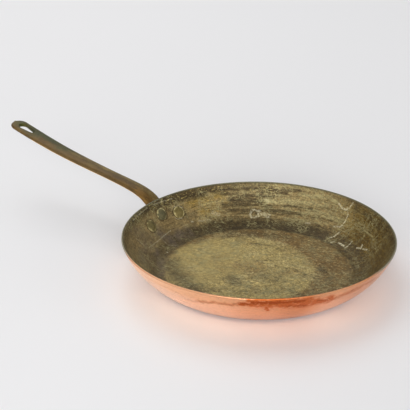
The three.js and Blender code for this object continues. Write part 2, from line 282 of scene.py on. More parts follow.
class Section:
    """The pan's section, and where each piece lies on it."""

    def __init__(self, pan):
        size, lining = pan.sheet, pan.lining
        self.half = size.sheet / 2
        self.sweep = size.corner_sweep
        self.corner_radius = size.corner_radius - self.half
        self.corner = np.array([size.rim_radius - size.wall_run, self.half + self.corner_radius])
        self.lip = np.array([size.rim_radius - self.half, size.height - self.half])
        start = on_arc(self.corner, self.corner_radius, self.sweep)
        chord = self.lip - start
        rise = math.atan2(chord[1], chord[0])
        self.lip_slope = 2 * rise - self.sweep
        self.wall_radius = float(np.hypot(*chord)) / (2 * math.sin(rise - self.sweep))
        self.wall = start - on_arc((0, 0), self.wall_radius, self.sweep)
        self.height = size.height
        self.lining_back = self.half + lining.gap
        self.lining_face = self.lining_back + lining.thickness
        self.plate_seat = -self.half - lining.gap
        self.plate_outside = self.plate_seat - pan.handle.plate_thickness

    def at(self, slope, inset):
        """Points of a surface at the given slopes."""
        slope = np.asarray(slope, float)
        corner = on_arc(self.corner, self.corner_radius - inset, slope)
        wall = on_arc(self.wall, self.wall_radius - inset, slope)
        return np.where((slope < self.sweep)[..., None], corner, wall)

    def slope_at(self, drop, inset):
        """The slope where a surface lies a drop below the lip's top."""
        return math.acos((self.wall[1] - self.height + drop) / (self.wall_radius - inset))

    def face(self, inset, top_slope, rings):
        """Points up one face, from the axis to a slope, with its rings on floor, corner and wall."""
        on_floor, in_corner, on_wall = rings
        floor_end = self.at(0.0, inset)
        floor = np.linspace([0, floor_end[1]], floor_end, on_floor + 1)[:-1]
        corner = self.at(np.linspace(0, self.sweep, in_corner + 1)[:-1], inset)
        wall = self.at(np.linspace(self.sweep, top_slope, on_wall + 1), inset)
        return np.concatenate([floor, corner, wall])


# Meshes

WELD = 1e-7  # points this close together become one
FACE_RINGS = (10, 14, 44)  # rings across the floor, round the corner and up the wall
FLOOR_RINGS = (40, 16, 44)  # the same for the lining's face, which the camera sees
LIP_STEPS = 14
BORE_REACH = 12 * MM  # a bore's rod each way from the sheet's middle
BORE_STEPS = 32
RIVET_STEPS = 64
DOME_POINTS = 14
THIN_EDGE_AT = 0.2  # where the lining's edge ends, as a share of its stop below the lip
THIN_EDGE = 0.02 * MM  # how thick it is there
HEAD_SINK = 0.05 * MM  # a head reaches this far past the face that it sits on, so no gap shows
PEENED_SINK = 0.2 * MM
FLANGE_EDGE = 0.25 * MM  # bevel of the flat rim round a head
FLANGE_FILLET = 0.3 * MM  # and its flat part beside the dome


def solid(name, points, faces):
    """A smooth closed mesh in the scene, with its faces turned outwards."""
    mesh = bpy.data.meshes.new(name)
    mesh.from_pydata(np.asarray(points).tolist(), [], [list(map(int, f)) for f in faces])
    work = bmesh.new()
    work.from_mesh(mesh)
    bmesh.ops.remove_doubles(work, verts=work.verts, dist=WELD)
    bmesh.ops.recalc_face_normals(work, faces=work.faces)
    work.to_mesh(mesh)
    work.free()
    mesh.shade_smooth()
    made = bpy.data.objects.new(name, mesh)
    bpy.context.scene.collection.objects.link(made)
    return made


def piece(name, points, faces, node, finish):
    """A solid that rides on the body and stands for one node."""
    made = solid(name, points, faces)
    made.data.materials.append(finish)
    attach(made, "root")
    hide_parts(node)
    return made


def quads(rows, count):
    """The faces of a grid of points whose rows are closed rings."""
    row = np.arange(rows - 1)[:, None] * count
    column = np.arange(count)[None, :]
    ahead = (column + 1) % count
    corners = [row + column, row + ahead, row + count + ahead, row + count + column]
    return np.stack(corners, -1).reshape(-1, 4)


def turned(profile, steps):
    """A closed profile, which starts and ends on the axis, turned about Z."""
    turn = np.linspace(0, 2 * np.pi, steps, endpoint=False)
    out, height = profile[:, :1], np.repeat(profile[:, 1:], steps, axis=1)
    points = np.stack([out * np.cos(turn), out * np.sin(turn), height], -1).reshape(-1, 3)
    faces = quads(len(profile), steps)
    end = (len(profile) - 1) * steps
    start_fan = [(c, d, 0) for _, _, c, d in faces[:steps]]
    end_fan = [(a, b, end) for a, b, _, _ in faces[-steps:]]
    return points, [*start_fan, *end_fan, *faces[steps:-steps]]


def skinned(rings):
    """A closed skin over rings of equally many points; the end rings shrink to a point or a line."""
    return rings.reshape(-1, 3), quads(*rings.shape[:2])[:, [0, 3, 2, 1]]


def cut(made, tools):
    """Takes each tool's shape out of a piece, and then the tools themselves."""
    for one in tools:
        change = made.modifiers.new("cut", "BOOLEAN")
        change.operation, change.solver, change.object = "DIFFERENCE", "EXACT", one
    graph = bpy.context.evaluated_depsgraph_get()
    mesh = bpy.data.meshes.new_from_object(made.evaluated_get(graph))
    made.modifiers.clear()
    made.data = mesh
    for one in tools:
        bpy.data.meshes.remove(one.data)
    if not mesh.vertices:
        raise RuntimeError(f"cutting {made.name} left nothing")


# Rivet places, shared by the rivets and the bores


def rivet_seats(pan, section):
    """Each rivet's place: its own Z points into the pan, from the sheet's middle surface."""
    size = pan.rivets
    side_slope = section.slope_at(size.side_drop, section.lining_face)
    side_turn = size.side_spread / 2 / section.at(side_slope, 0)[0]
    seats = {}
    for name, drop, turn in (
        ("rivet_left", size.side_drop, -side_turn),
        ("rivet_centre", size.centre_drop, 0),
        ("rivet_right", size.side_drop, side_turn),
    ):
        slope = section.slope_at(drop, section.lining_face)
        middle = section.at(slope, 0)
        shift = Matrix.Translation((-middle[0], 0, middle[1]))
        seats[name] = Matrix.Rotation(turn, 4, "Z") @ shift @ Matrix.Rotation(slope, 4, "Y")
    return seats


def placed(points, seat):
    """Points moved to a seat."""
    matrix = np.array(seat)
    return np.asarray(points) @ matrix[:3, :3].T + matrix[:3, 3]


def bores(pan, section):
    """One cutting rod for each rivet."""
    radius = pan.rivets.shank_radius + pan.rivets.bore_clearance
    rod = [[0, -BORE_REACH], [radius, -BORE_REACH], [radius, BORE_REACH], [0, BORE_REACH]]
    points, faces = turned(np.array(rod), BORE_STEPS)
    return [solid("tool", placed(points, seat), faces) for seat in rivet_seats(pan, section).values()]


# The handle's blank

SWELL_MARGIN = 4 * MM  # the bend thickens from this far before leaving to this far after the neck
CROWN_GROWTH = 18 * MM  # along the spine, from where the bar leaves the wall
WRAP_FADE = 27 * MM  # the same for the curve across the plate, which ends in the straight bar
# How long each stretch of the outline keeps the direction of its two ends, as shares of the stretch
LOBE_KEEP = (0.72, 0.22)
SHOULDER_KEEP = (0.45, 0.6)
TAPER_KEEP = (0.12, 0.52)
FLARE_KEEP = (0.12, 0.28)
OUTLINE_STEPS = {"lobe": 26, "shoulder": 28, "taper": 26, "flare": 44, "tip": 32}
SPINE_STEPS = {"plate": 199, "bend": 400, "bar": 400}
FACE_STRIPS = 18  # across the handle
EDGE_STEPS = 6  # round each long edge of the handle and of its hole
HOLE_STEPS = 28  # round each end of the hanging hole
TOOL_PAST = 2 * MM  # a cutting plug reaches this far past both faces


def cubic(a, b, c, d, steps):
    """Points of a cubic curve."""
    t = np.linspace(0, 1, steps + 1)[:, None]
    a, b, c, d = (np.asarray(p, float) for p in (a, b, c, d))
    return (1 - t) ** 3 * a + 3 * (1 - t) ** 2 * t * b + 3 * (1 - t) * t**2 * c + t**3 * d


def eased(start, end, keep, steps):
    """A curve from width to width, level at both ends, without its first point."""
    span = end[0] - start[0]
    inner = (start[0] + keep[0] * span, start[1]), (end[0] - keep[1] * span, end[1])
    return cubic(start, *inner, end, steps)[1:]


def smooth(value, low, high):
    """0 below low and 1 above high, eased between."""
    t = np.clip((np.asarray(value, float) - low) / (high - low), 0, 1)
    return t * t * (3 - 2 * t)


def blend(low, high, share):
    """Between two values."""
    return low + (high - low) * share


class Blank:
    """The handle's flat blank and the spine that it is bent along."""

    def __init__(self, pan, section):
        size = self.size = pan.handle
        side_slope = section.slope_at(pan.rivets.side_drop, section.lining_face)
        seat_radius = section.wall_radius - section.plate_seat
        bottom_slope = side_slope - size.below_rivet / seat_radius
        leave_slope = section.slope_at(size.leave_drop, section.plate_seat)
        leave = section.at(leave_slope, section.plate_seat)
        rim = np.array([pan.sheet.rim_radius, pan.sheet.height])
        waist = rim + (size.waist_reach, size.waist_rise)
        tip = rim + (size.tip_reach, size.tip_rise)

        def pull(slope, distance):
            return distance * np.array([math.cos(slope), math.sin(slope)])

        slopes = np.linspace(bottom_slope, leave_slope, SPINE_STEPS["plate"] + 1)
        wall = section.at(slopes, section.plate_seat)
        bend_pulls = (
            leave + pull(leave_slope, size.bend_start_pull),
            waist - pull(size.waist_slope, size.bend_end_pull),
        )
        bar_pulls = (
            waist + pull(size.waist_slope, size.bar_pull),
            tip - pull(size.tip_slope, size.bar_pull),
        )
        bend = cubic(leave, *bend_pulls, waist, SPINE_STEPS["bend"])
        bar = cubic(waist, *bar_pulls, tip, SPINE_STEPS["bar"])
        self.line = np.concatenate([wall, bend[1:], bar[1:]])
        steps = np.hypot(*np.diff(self.line, axis=0).T)
        self.along = np.concatenate([[0], np.cumsum(steps)])
        tangent = np.gradient(self.line, self.along, axis=0)
        self.slope = np.unwrap(np.arctan2(tangent[:, 1], tangent[:, 0]))
        self.leave_at = self.along[len(wall) - 1]
        self.waist_at = self.along[len(wall) + len(bend) - 2]
        self.length = self.along[-1]
        self.lobe_half = pan.rivets.side_spread / 2 + size.beside_rivet
        self.neck_at = self.leave_at + size.neck_after
        self.eye_at = self.length - size.eye_half

    def thickness(self, at):
        """The blank's thickness along the spine."""
        size = self.size
        swell = smooth(at, self.leave_at - SWELL_MARGIN, self.neck_at + SWELL_MARGIN)
        thinning = (size.bend_thickness - size.tip_thickness) * smooth(at, self.neck_at, self.length)
        return blend(size.plate_thickness, size.bend_thickness, swell) - thinning

    def bent(self, at, across, depth):
        """Points of the blank, bent into place. The plate also wraps round the wall."""
        x = np.interp(at, self.along, self.line[:, 0])
        z = np.interp(at, self.along, self.line[:, 1])
        slope = np.interp(at, self.along, self.slope)
        out, height = x + depth * np.sin(slope), z - depth * np.cos(slope)
        wrap = 1 - smooth(at, self.leave_at, self.leave_at + WRAP_FADE)
        turn = across / x
        row = -blend(out, out * np.cos(turn), wrap), -blend(across, out * np.sin(turn), wrap), height
        return np.stack(row, -1)

    def outline(self):
        """One side of the outline, from the plate's bottom edge to the tip: along and across."""
        size = self.size
        lobe = np.array([size.below_rivet, self.lobe_half])
        neck = np.array([self.neck_at, size.neck_half])
        waist = np.array([self.waist_at, size.waist_half])
        eye = np.array([self.eye_at, size.eye_half])
        tip = np.linspace(np.pi / 2, 0, OUTLINE_STEPS["tip"] + 1)[1:]
        lobe_pulls = (0, LOBE_KEEP[0] * lobe[1]), (LOBE_KEEP[1] * lobe[0], lobe[1])
        return np.concatenate(
            [
                cubic((0, 0), *lobe_pulls, lobe, OUTLINE_STEPS["lobe"]),
                eased(lobe, neck, SHOULDER_KEEP, OUTLINE_STEPS["shoulder"]),
                eased(neck, waist, TAPER_KEEP, OUTLINE_STEPS["taper"]),
                eased(waist, eye, FLARE_KEEP, OUTLINE_STEPS["flare"]),
                eye * (1, 0) + size.eye_half * np.stack([np.cos(tip), np.sin(tip)], -1),
            ]
        )

    def rings(self):
        """One ring for each outline point: over the upper face, round an edge, back under and round."""
        size, line = self.size, self.outline()
        ahead = np.concatenate([line[1:], [line[-2] * (1, -1)]])
        behind = np.concatenate([[line[1] * (1, -1)], line[:-1]])
        along = ahead - behind
        along /= np.linalg.norm(along, axis=1)[:, None]
        inward = np.stack([along[:, 1], -along[:, 0]], -1)
        quarter = np.linspace(0, np.pi / 2, EDGE_STEPS + 1)
        from_face, from_side = 1 - np.cos(quarter), 1 - np.sin(quarter)
        settle = smooth(line[:, 0], self.leave_at, self.neck_at)[:, None]
        upper = blend(size.seat_round, size.bar_round, settle)
        under = blend(size.outer_round, size.bar_round, settle)
        thickness = self.thickness(line[:, 0])[:, None]
        inset = np.concatenate([upper * from_side, under * from_face], axis=1)
        depth = np.concatenate([upper * from_face, thickness - under * from_side], axis=1)
        at = line[:, :1] + inward[:, :1] * inset
        half = line[:, 1:] + inward[:, 1:] * inset
        crown = size.crown * smooth(line[:, :1], self.leave_at, self.leave_at + CROWN_GROWTH)

        def place(k, share):
            across = share * half[:, k : k + 1]
            width = np.maximum(np.maximum(line[:, 1:], half[:, k : k + 1]), MM)
            fall = crown * (across / width) ** 2 * (1 - depth[:, k : k + 1] / thickness)
            return self.bent(at[:, k : k + 1] + 0 * across, across, depth[:, k : k + 1] + fall)

        strips = (2 * np.arange(FACE_STRIPS) / FACE_STRIPS - 1)[None, :]
        last = 2 * EDGE_STEPS + 1
        one_side = [place(k, np.ones((1, 1))) for k in range(last)]
        other_side = [place(k, -np.ones((1, 1))) for k in range(last, 0, -1)]
        return np.concatenate([place(0, strips), *one_side, place(last, -strips), *other_side], axis=1)

    def hole_outline(self, outset):
        """The hanging hole's outline, grown by an outset: a wide arc outwards and a narrow one inwards."""
        size = self.size
        wide_at = self.length - size.hole_from_tip - size.hole_wide
        narrow_at = self.length - size.hole_from_tip - size.hole_length + size.hole_narrow
        lean = math.asin((size.hole_wide - size.hole_narrow) / (wide_at - narrow_at))
        tangent = np.pi / 2 + lean
        wide = np.linspace(-tangent, tangent, HOLE_STEPS + 1)
        narrow = np.linspace(tangent, 2 * np.pi - tangent, HOLE_STEPS + 1)
        arcs = (wide_at, size.hole_wide + outset, wide), (narrow_at, size.hole_narrow + outset, narrow)
        at = np.concatenate([middle + radius * np.cos(turn) for middle, radius, turn in arcs])
        return at, np.concatenate([radius * np.sin(turn) for _, radius, turn in arcs])

    def hole_tool(self):
        """A plug the shape of the hole, flared round at both faces."""
        edge = self.size.hole_round
        thickness = float(self.thickness(self.eye_at))
        levels = [(edge + TOOL_PAST, -TOOL_PAST)]
        for q in np.linspace(0, np.pi / 2, EDGE_STEPS + 1):
            levels.append((edge * (1 - math.sin(q)), edge * (1 - math.cos(q))))
        levels += [(outset, thickness - depth) for outset, depth in reversed(levels)]
        rings = []
        for outset, depth in levels:
            at, across = self.hole_outline(outset)
            rings.append(self.bent(at, across, np.full(len(at), depth)))
        middle = np.full(len(at), self.length - self.size.hole_from_tip - self.size.hole_length / 2)
        start, end = (
            self.bent(middle, 0 * middle, np.full(len(at), depth))
            for depth in (-TOOL_PAST, thickness + TOOL_PAST)
        )
        return solid("tool", *skinned(np.stack([start, *rings, end])))


# Finishes

HAIR = 0.07  # half the width of a hairline, as a share of its noise
TINY_SHIFT = (1e-9,) * 3  # far less than can show
NOISE_ROUGHNESS = 0.65  # how strong the finest detail of a noise is
MIX_SHARE, MIX_UNDER, MIX_OVER, MIXED = 0, 6, 7, 2  # where a Mix node has its sockets for colours


def add(tree, kind, inputs=(), **settings):
    """Adds a shader node with its settings and inputs, and gives its outputs.

    The inputs are a list in their order, or a dict by name or number.
    """
    made = tree.nodes.new("ShaderNode" + kind)
    for name, value in settings.items():
        setattr(made, name, value)
    for socket, value in inputs.items() if isinstance(inputs, dict) else enumerate(inputs):
        if isinstance(value, bpy.types.NodeSocket):
            tree.links.new(value, made.inputs[socket])
        else:
            made.inputs[socket].default_value = value
    return made.outputs


def finish(name):
    """An empty material and its tree."""
    material = bpy.data.materials.new(name)
    material.use_nodes = True
    material.node_tree.nodes.clear()
    return material, material.node_tree


def surface(tree, tint, metallic, rough, height, depth):
    """The shader of a finish, embossed by a height map of a depth in millimetres."""
    bump = add(tree, "Bump", {"Height": height, "Distance": depth * MM})[0]
    looks = {"Base Color": tint, "Metallic": metallic, "Roughness": rough, "Normal": bump}
    add(tree, "OutputMaterial", {"Surface": add(tree, "BsdfPrincipled", looks)[0]})


def overlap(tree, *masks):
    """Where all the masks lie. A mask is a socket or a plain strength."""
    shared = masks[0]
    for mask in masks[1:]:
        shared = add(tree, "Math", [shared, mask], operation="MULTIPLY")[0]
    return shared


def band(tree, value, *edges):
    """With two edges, an eased step between them. With four, a band that rises and then falls."""
    steps = [edges[:2]] if len(edges) == 2 else [edges[:2], (edges[3], edges[2])]
    masks = []
    for low, high in steps:
        ends = {"Value": value, "From Min": low, "From Max": high}
        masks.append(add(tree, "MapRange", ends, interpolation_type="SMOOTHSTEP")[0])
    return overlap(tree, *masks)


def band_mm(tree, value, *edges):
    """The same with its edges in millimetres."""
    return band(tree, value, *(edge * MM for edge in edges))


def mottle(tree, place, sizes, seed, detail=3, contrast=2.5):
    """Noise in blotches as big as the sizes along X, Y and Z, in millimetres, or as one size.

    It runs from about 0 to 1, or past them with more contrast.
    """
    sizes = sizes if isinstance(sizes, tuple) else (sizes,) * 3
    spot = [place, [1 / (size * MM) for size in sizes], (seed, 1.7 * seed, 0.6 * seed)]
    spot = add(tree, "VectorMath", spot, operation="MULTIPLY_ADD")[0]
    noise = {"Vector": spot, "Scale": 1, "Detail": detail, "Roughness": NOISE_ROUGHNESS}
    spread = [add(tree, "TexNoise", noise)[0], contrast, (1 - contrast) / 2]
    return add(tree, "Math", spread, operation="MULTIPLY_ADD")[0]


def wavered(tree, value, noise, reach):
    """A value pushed either way by a noise, at most half the reach."""
    push = add(tree, "Math", [noise, reach, -reach / 2], operation="MULTIPLY_ADD")[0]
    return add(tree, "Math", [value, push], operation="ADD")[0]


def full(tint):
    """A colour as a node takes it: a socket, or red, green, blue and alpha."""
    return tint if isinstance(tint, bpy.types.NodeSocket) else (*tint, 1)


def coats(tree, base, *layers):
    """Coats of colour over a base. Each has its colour, and its masks: it lies where all of them do."""
    for tint, *masks in layers:
        mix = {MIX_SHARE: overlap(tree, *masks), MIX_UNDER: full(base), MIX_OVER: full(tint)}
        base = add(tree, "Mix", mix, data_type="RGBA")[MIXED]
    return base


def toned(tree, tint, *noises):
    """A colour made lighter and darker by noises, each with its own depth."""
    for noise, depth in noises:
        value = add(tree, "Math", [noise, depth, 1 - depth / 2], operation="MULTIPLY_ADD")[0]
        tint = add(tree, "HueSaturation", {"Color": full(tint), "Value": value})[0]
    return tint


def facing_up(tree):
    """1 where a surface faces up, 0 at its sides and -1 underneath."""
    return add(tree, "SeparateXYZ", [add(tree, "NewGeometry")["Normal"]])[2]


def around(tree):
    """Where a point lies on the turned pan: place, distance from the axis, turn, height, rolled place
    and way up the section.

    The rolled place has the way up the section along Z, so its noise can be drawn out round the pan.
    """
    place = add(tree, "TexCoord")["Object"]
    x, y, height = add(tree, "SeparateXYZ", [place])
    level = add(tree, "CombineXYZ", [x, y])[0]
    out = add(tree, "VectorMath", [level], operation="LENGTH")["Value"]
    turn = add(tree, "Math", [y, x], operation="ARCTAN2")[0]
    way = add(tree, "Math", [out, height], operation="ADD")[0]
    rolled = add(tree, "CombineXYZ", [x, y, way])[0]
    return place, out, turn, height, rolled, way


def round_the_pan(tree, turn, table):
    """A share that changes round the pan. The table gives it by degrees, from -180 to 180."""
    share = add(tree, "MapRange", {"Value": turn, "From Min": -math.pi, "From Max": math.pi})[0]
    shade = add(tree, "ValToRGB", [share])[0]
    ramp = shade.node.color_ramp
    ramp.interpolation = "EASE"
    stops = ramp.elements
    for degrees in list(table)[1:-1]:
        stops.new((degrees + 180) / 360)
    for stop, value in zip(stops, table.values()):
        stop.color = (value, value, value, 1)
    return shade


def mark_group():
    """A node group that adds the mark of one line, from a start to an end, to the marks so far.

    It hands the place on as well, moved by far less than can show. That makes the renderer work out one
    mark after another: it has no room for all of them at once.
    """
    group = bpy.data.node_groups.new("scratch", "ShaderNodeTree")
    handed_on = {"Place": "Vector", "Marks": "Float"}
    own = {"Start": "Vector", "End": "Vector", "Width": "Float", "Strength": "Float"}
    for way, sockets in (("INPUT", {**handed_on, **own}), ("OUTPUT", handed_on)):
        for name, kind in sockets.items():
            group.interface.new_socket(name, in_out=way, socket_type="NodeSocket" + kind)
    given = group.nodes.new("NodeGroupInput").outputs
    run, off = (
        add(group, "VectorMath", [given[name], given["Start"]], operation="SUBTRACT")[0]
        for name in ("End", "Place")
    )
    along, whole = (
        add(group, "VectorMath", [one, run], operation="DOT_PRODUCT")["Value"] for one in (off, run)
    )
    share = add(group, "Math", [along, whole], operation="DIVIDE", use_clamp=True)[0]
    near = add(group, "VectorMath", {0: run, "Scale": share}, operation="SCALE")[0]
    distance = add(group, "VectorMath", [off, near], operation="DISTANCE")["Value"]
    ends = {"Value": distance, "From Min": given["Width"], "From Max": 0, "To Max": given["Strength"]}
    mark = add(group, "MapRange", ends, interpolation_type="SMOOTHSTEP")[0]
    marks = add(group, "Math", [mark, given["Marks"]], operation="MAXIMUM")[0]
    moved = [marks, TINY_SHIFT, given["Place"]]
    place = add(group, "VectorMath", moved, operation="MULTIPLY_ADD")[0]
    done = group.nodes.new("NodeGroupOutput").inputs
    group.links.new(place, done["Place"])
    group.links.new(marks, done["Marks"])
    return group


def placed_marks(tree, place, lines):
    """One mask for a table of marks at known places."""
    group = bpy.data.node_groups.get("scratch") or mark_group()
    marks = 0.0
    for width, strength, *points in lines:
        for start, end in zip(points, points[1:]):
            one = {"Place": place, "Marks": marks, "Width": width * MM, "Strength": strength}
            one |= {"Start": [c * MM for c in start], "End": [c * MM for c in end]}
            place, marks = add(tree, "Group", one, node_tree=group)
    return marks


def shaken(tree, place, size, reach, seed):
    """A place pushed about by noise, so that a line drawn on it has a ragged edge.

    The size of the noise and how far it pushes are in millimetres.
    """
    spot = add(tree, "VectorMath", {0: place, "Scale": 1 / (size * MM)}, operation="SCALE")[0]
    spot = add(tree, "VectorMath", [spot, (seed, seed, seed)], operation="ADD")[0]
    noise = add(tree, "TexNoise", {"Vector": spot, "Scale": 1, "Detail": 3})[1]
    push = add(tree, "VectorMath", [noise, (0.5, 0.5, 0.5)], operation="SUBTRACT")[0]
    push = add(tree, "VectorMath", {0: push, "Scale": 2 * reach * MM}, operation="SCALE")[0]
    return add(tree, "VectorMath", [place, push], operation="ADD")[0]


def hairlines(tree, place, sizes, seed):
    """Fine crossing lines, where a noise passes its middle value."""
    noise = mottle(tree, place, sizes, seed, detail=2)
    return band(tree, noise, 0.5 - HAIR, 0.5, 0.5, 0.5 + HAIR)


# Marks on the copper. Each is a half width in millimetres, a strength and a run of points. A point is
# degrees round the pan and millimetres up the wall.

# Painted reflection: the thin dark line round the wall
REFLECTED_DARK_LINE = (
    (2, 0.35, (-107, 33.5), (-98, 35.3), (-94, 34.6), (-89, 33.6), (-86, 31.6), (-84, 27)),
    (2.6, 0.6, (-85, 26.8), (-82, 27.2), (-77.7, 29.2)),
    (3.8, 1, (-78, 29.2), (-71, 31.6), (-65, 32.6), (-61, 34.4)),
    (3.2, 0.5, (-30, 33), (-22, 31), (-16, 31.8), (-9, 34.8), (0, 34.5)),
)
BURNS = (
    (5, 0.8, (-61, 35), (-56, 36)),
    (11, 1, (-56, 37.5), (-44, 37.5)),
    (12, 0.95, (-44, 36), (-34, 34)),
    (9, 0.75, (-36, 33), (-24, 31.5)),
    (3, 0.8, (-51, 34), (-50, 26)),
    (6, 0.5, (-24, 31), (-12, 33.5)),
    (5, 0.4, (-12, 34.5), (0, 35)),
)
BURN_HEARTS = (
    (2.6, 0.8, (-61, 34.6), (-57, 35.4)),
    (4, 1, (-56, 37), (-46, 38)),
    (3.4, 0.9, (-46, 37.6), (-36, 36.6)),
    (3.4, 0.7, (-42, 31.4), (-35, 29.6)),
    (2.4, 0.6, (-30, 33.5), (-25, 32.6)),
    (1.4, 0.9, (-14, 34.9), (-12.5, 34.8)),
    (1.4, 0.5, (-107.5, 34.2), (-106.5, 34.2)),
)
# How strongly heat has coloured the copper, and how much tin is left over the lip, by degrees
HEATED = {
    -180: 0.8, -125: 0.2, -100: 0, -90: 0.1, -77: 0.28, -52: 0.74, -36: 1, -22: 0.55, -6: 0.85, 180: 0.8
}
TINNED_LIP = {-180: 1, -128: 1, -114: 0, -6: 0, 8: 1, 180: 1}
# Heights on the wall in millimetres, from where a coat starts to where it is full
LESS_RUBBED = (27, 35)
# Painted shade at the foot of the wall
FOOT_SHADE_HEIGHT = (5.5, 2.5)
NEAR_LIP = (39.4, 41)
LIP_TIN = (39.6, 40.4)
LIP_TOP = (40.4, 41)
LIP_EDGE = (0.7, 1.1)  # the same in from the lip's outside edge
UNDERNEATH = (-0.93, -0.99)  # how far down a surface faces
TURNING_LINE = 1.2  # the real ones are about 0.2 mm apart, too fine to show


def spun_copper(pan):
    """Spun copper sheet, rubbed bright.

    Rubbing gives a soft pink mirror, its gloss broken by fine lines round the wall. Below the lip it is
    more orange, with a burnt patch on one side. A thin dark line round the wall is painted reflection,
    and a dark line at the foot of the wall is painted shade.
    """
    tints, rim = pan.copper, pan.sheet.rim_radius
    material, tree = finish("spun_copper")
    place, out, turn, height, rolled, _ = around(tree)
    level = add(tree, "Math", [turn, rim], operation="MULTIPLY")[0]
    wall = add(tree, "CombineXYZ", [level, height])[0]
    degree = math.radians(1) * rim / MM

    def wall_marks(place, lines):
        flat = [(w, s, *((a * degree, z, 0) for a, z in points)) for w, s, *points in lines]
        return placed_marks(tree, place, flat)

    turning = mottle(tree, rolled, (60, 60, TURNING_LINE), seed=5, detail=4)
    clouds = mottle(tree, place, (34, 34, 20), seed=8)
    grain = mottle(tree, place, (2.4, 2.4, 1.6), seed=3, detail=4)
    rings = mottle(tree, rolled, (80, 80, 5), seed=21)
    specks = band(tree, mottle(tree, place, (2, 2, 1.4), seed=31, detail=2), 0.85, 1.05)
    patchy = band(tree, mottle(tree, wall, (6, 2.6, 3), seed=12, detail=5), -0.2, 0.7)
    ragged = shaken(tree, wall, size=6, reach=3.6, seed=4)
    crumbled = shaken(tree, wall, size=3.4, reach=2.6, seed=9)

    upper = band_mm(tree, wavered(tree, height, clouds, 6 * MM), *LESS_RUBBED)
    heated = round_the_pan(tree, turn, HEATED)
    # Painted reflection: a thin dark line round the wall
    line = wall_marks(ragged, REFLECTED_DARK_LINE)
    burn = band(tree, overlap(tree, wall_marks(ragged, BURNS), patchy), 0.02, 0.7)
    heart = band(tree, overlap(tree, wall_marks(crumbled, BURN_HEARTS), patchy), 0.05, 0.8)
    # Painted shade along the foot of the wall
    grime = band_mm(tree, wavered(tree, height, grain, 1 * MM), *FOOT_SHADE_HEIGHT)
    on_edge = band(tree, out, *(rim - inwards * MM for inwards in LIP_EDGE))
    lip = overlap(tree, on_edge, band_mm(tree, height, *LIP_TOP))
    near_lip = band_mm(tree, wavered(tree, height, grain, 1.4 * MM), *NEAR_LIP)
    tinned = overlap(tree, round_the_pan(tree, turn, TINNED_LIP), band_mm(tree, height, *LIP_TIN))
    under = band(tree, facing_up(tree), *UNDERNEATH)

    tint = coats(tree, tints.rubbed, (tints.warm, upper, 0.8), (tints.heated, heated))
    tint = toned(tree, tint, (turning, 0.12), (clouds, 0.08), (grain, 0.14))
    tint = coats(
        tree,
        tint,
        (tints.line, specks, 0.5),
        (tints.line, near_lip, 0.45),
        (tints.line, line, band(tree, grain, -0.4, 0.4), 0.8),
        (toned(tree, tints.burn, (grain, 0.3)), burn),
        (tints.burn_heart, heart),
        (tints.grime, grime, 0.8),
        (toned(tree, tints.tinned_lip, (grain, 0.4)), tinned),
        (toned(tree, tints.lip, (grain, 0.4)), lip),
        (toned(tree, tints.base, (rings, 0.25), (clouds, 0.3)), under),
    )
    rough = add(tree, "Math", [turning, 0.05, 0.26], operation="MULTIPLY_ADD")[0]
    for mask, more in ((burn, 0.12), (grime, 0.25), (near_lip, 0.2), (lip, 0.2), (under, 0.15)):
        rough = add(tree, "Math", [mask, more, rough], operation="MULTIPLY_ADD")[0]
    relief = add(tree, "Math", [turning, 0.25, clouds], operation="MULTIPLY_ADD")[0]
    surface(tree, tint, metallic=1.0, rough=rough, height=relief, depth=0.1)
    return material


# Marks on the tin, in the same form. A point is millimetres in the frame of the pan.

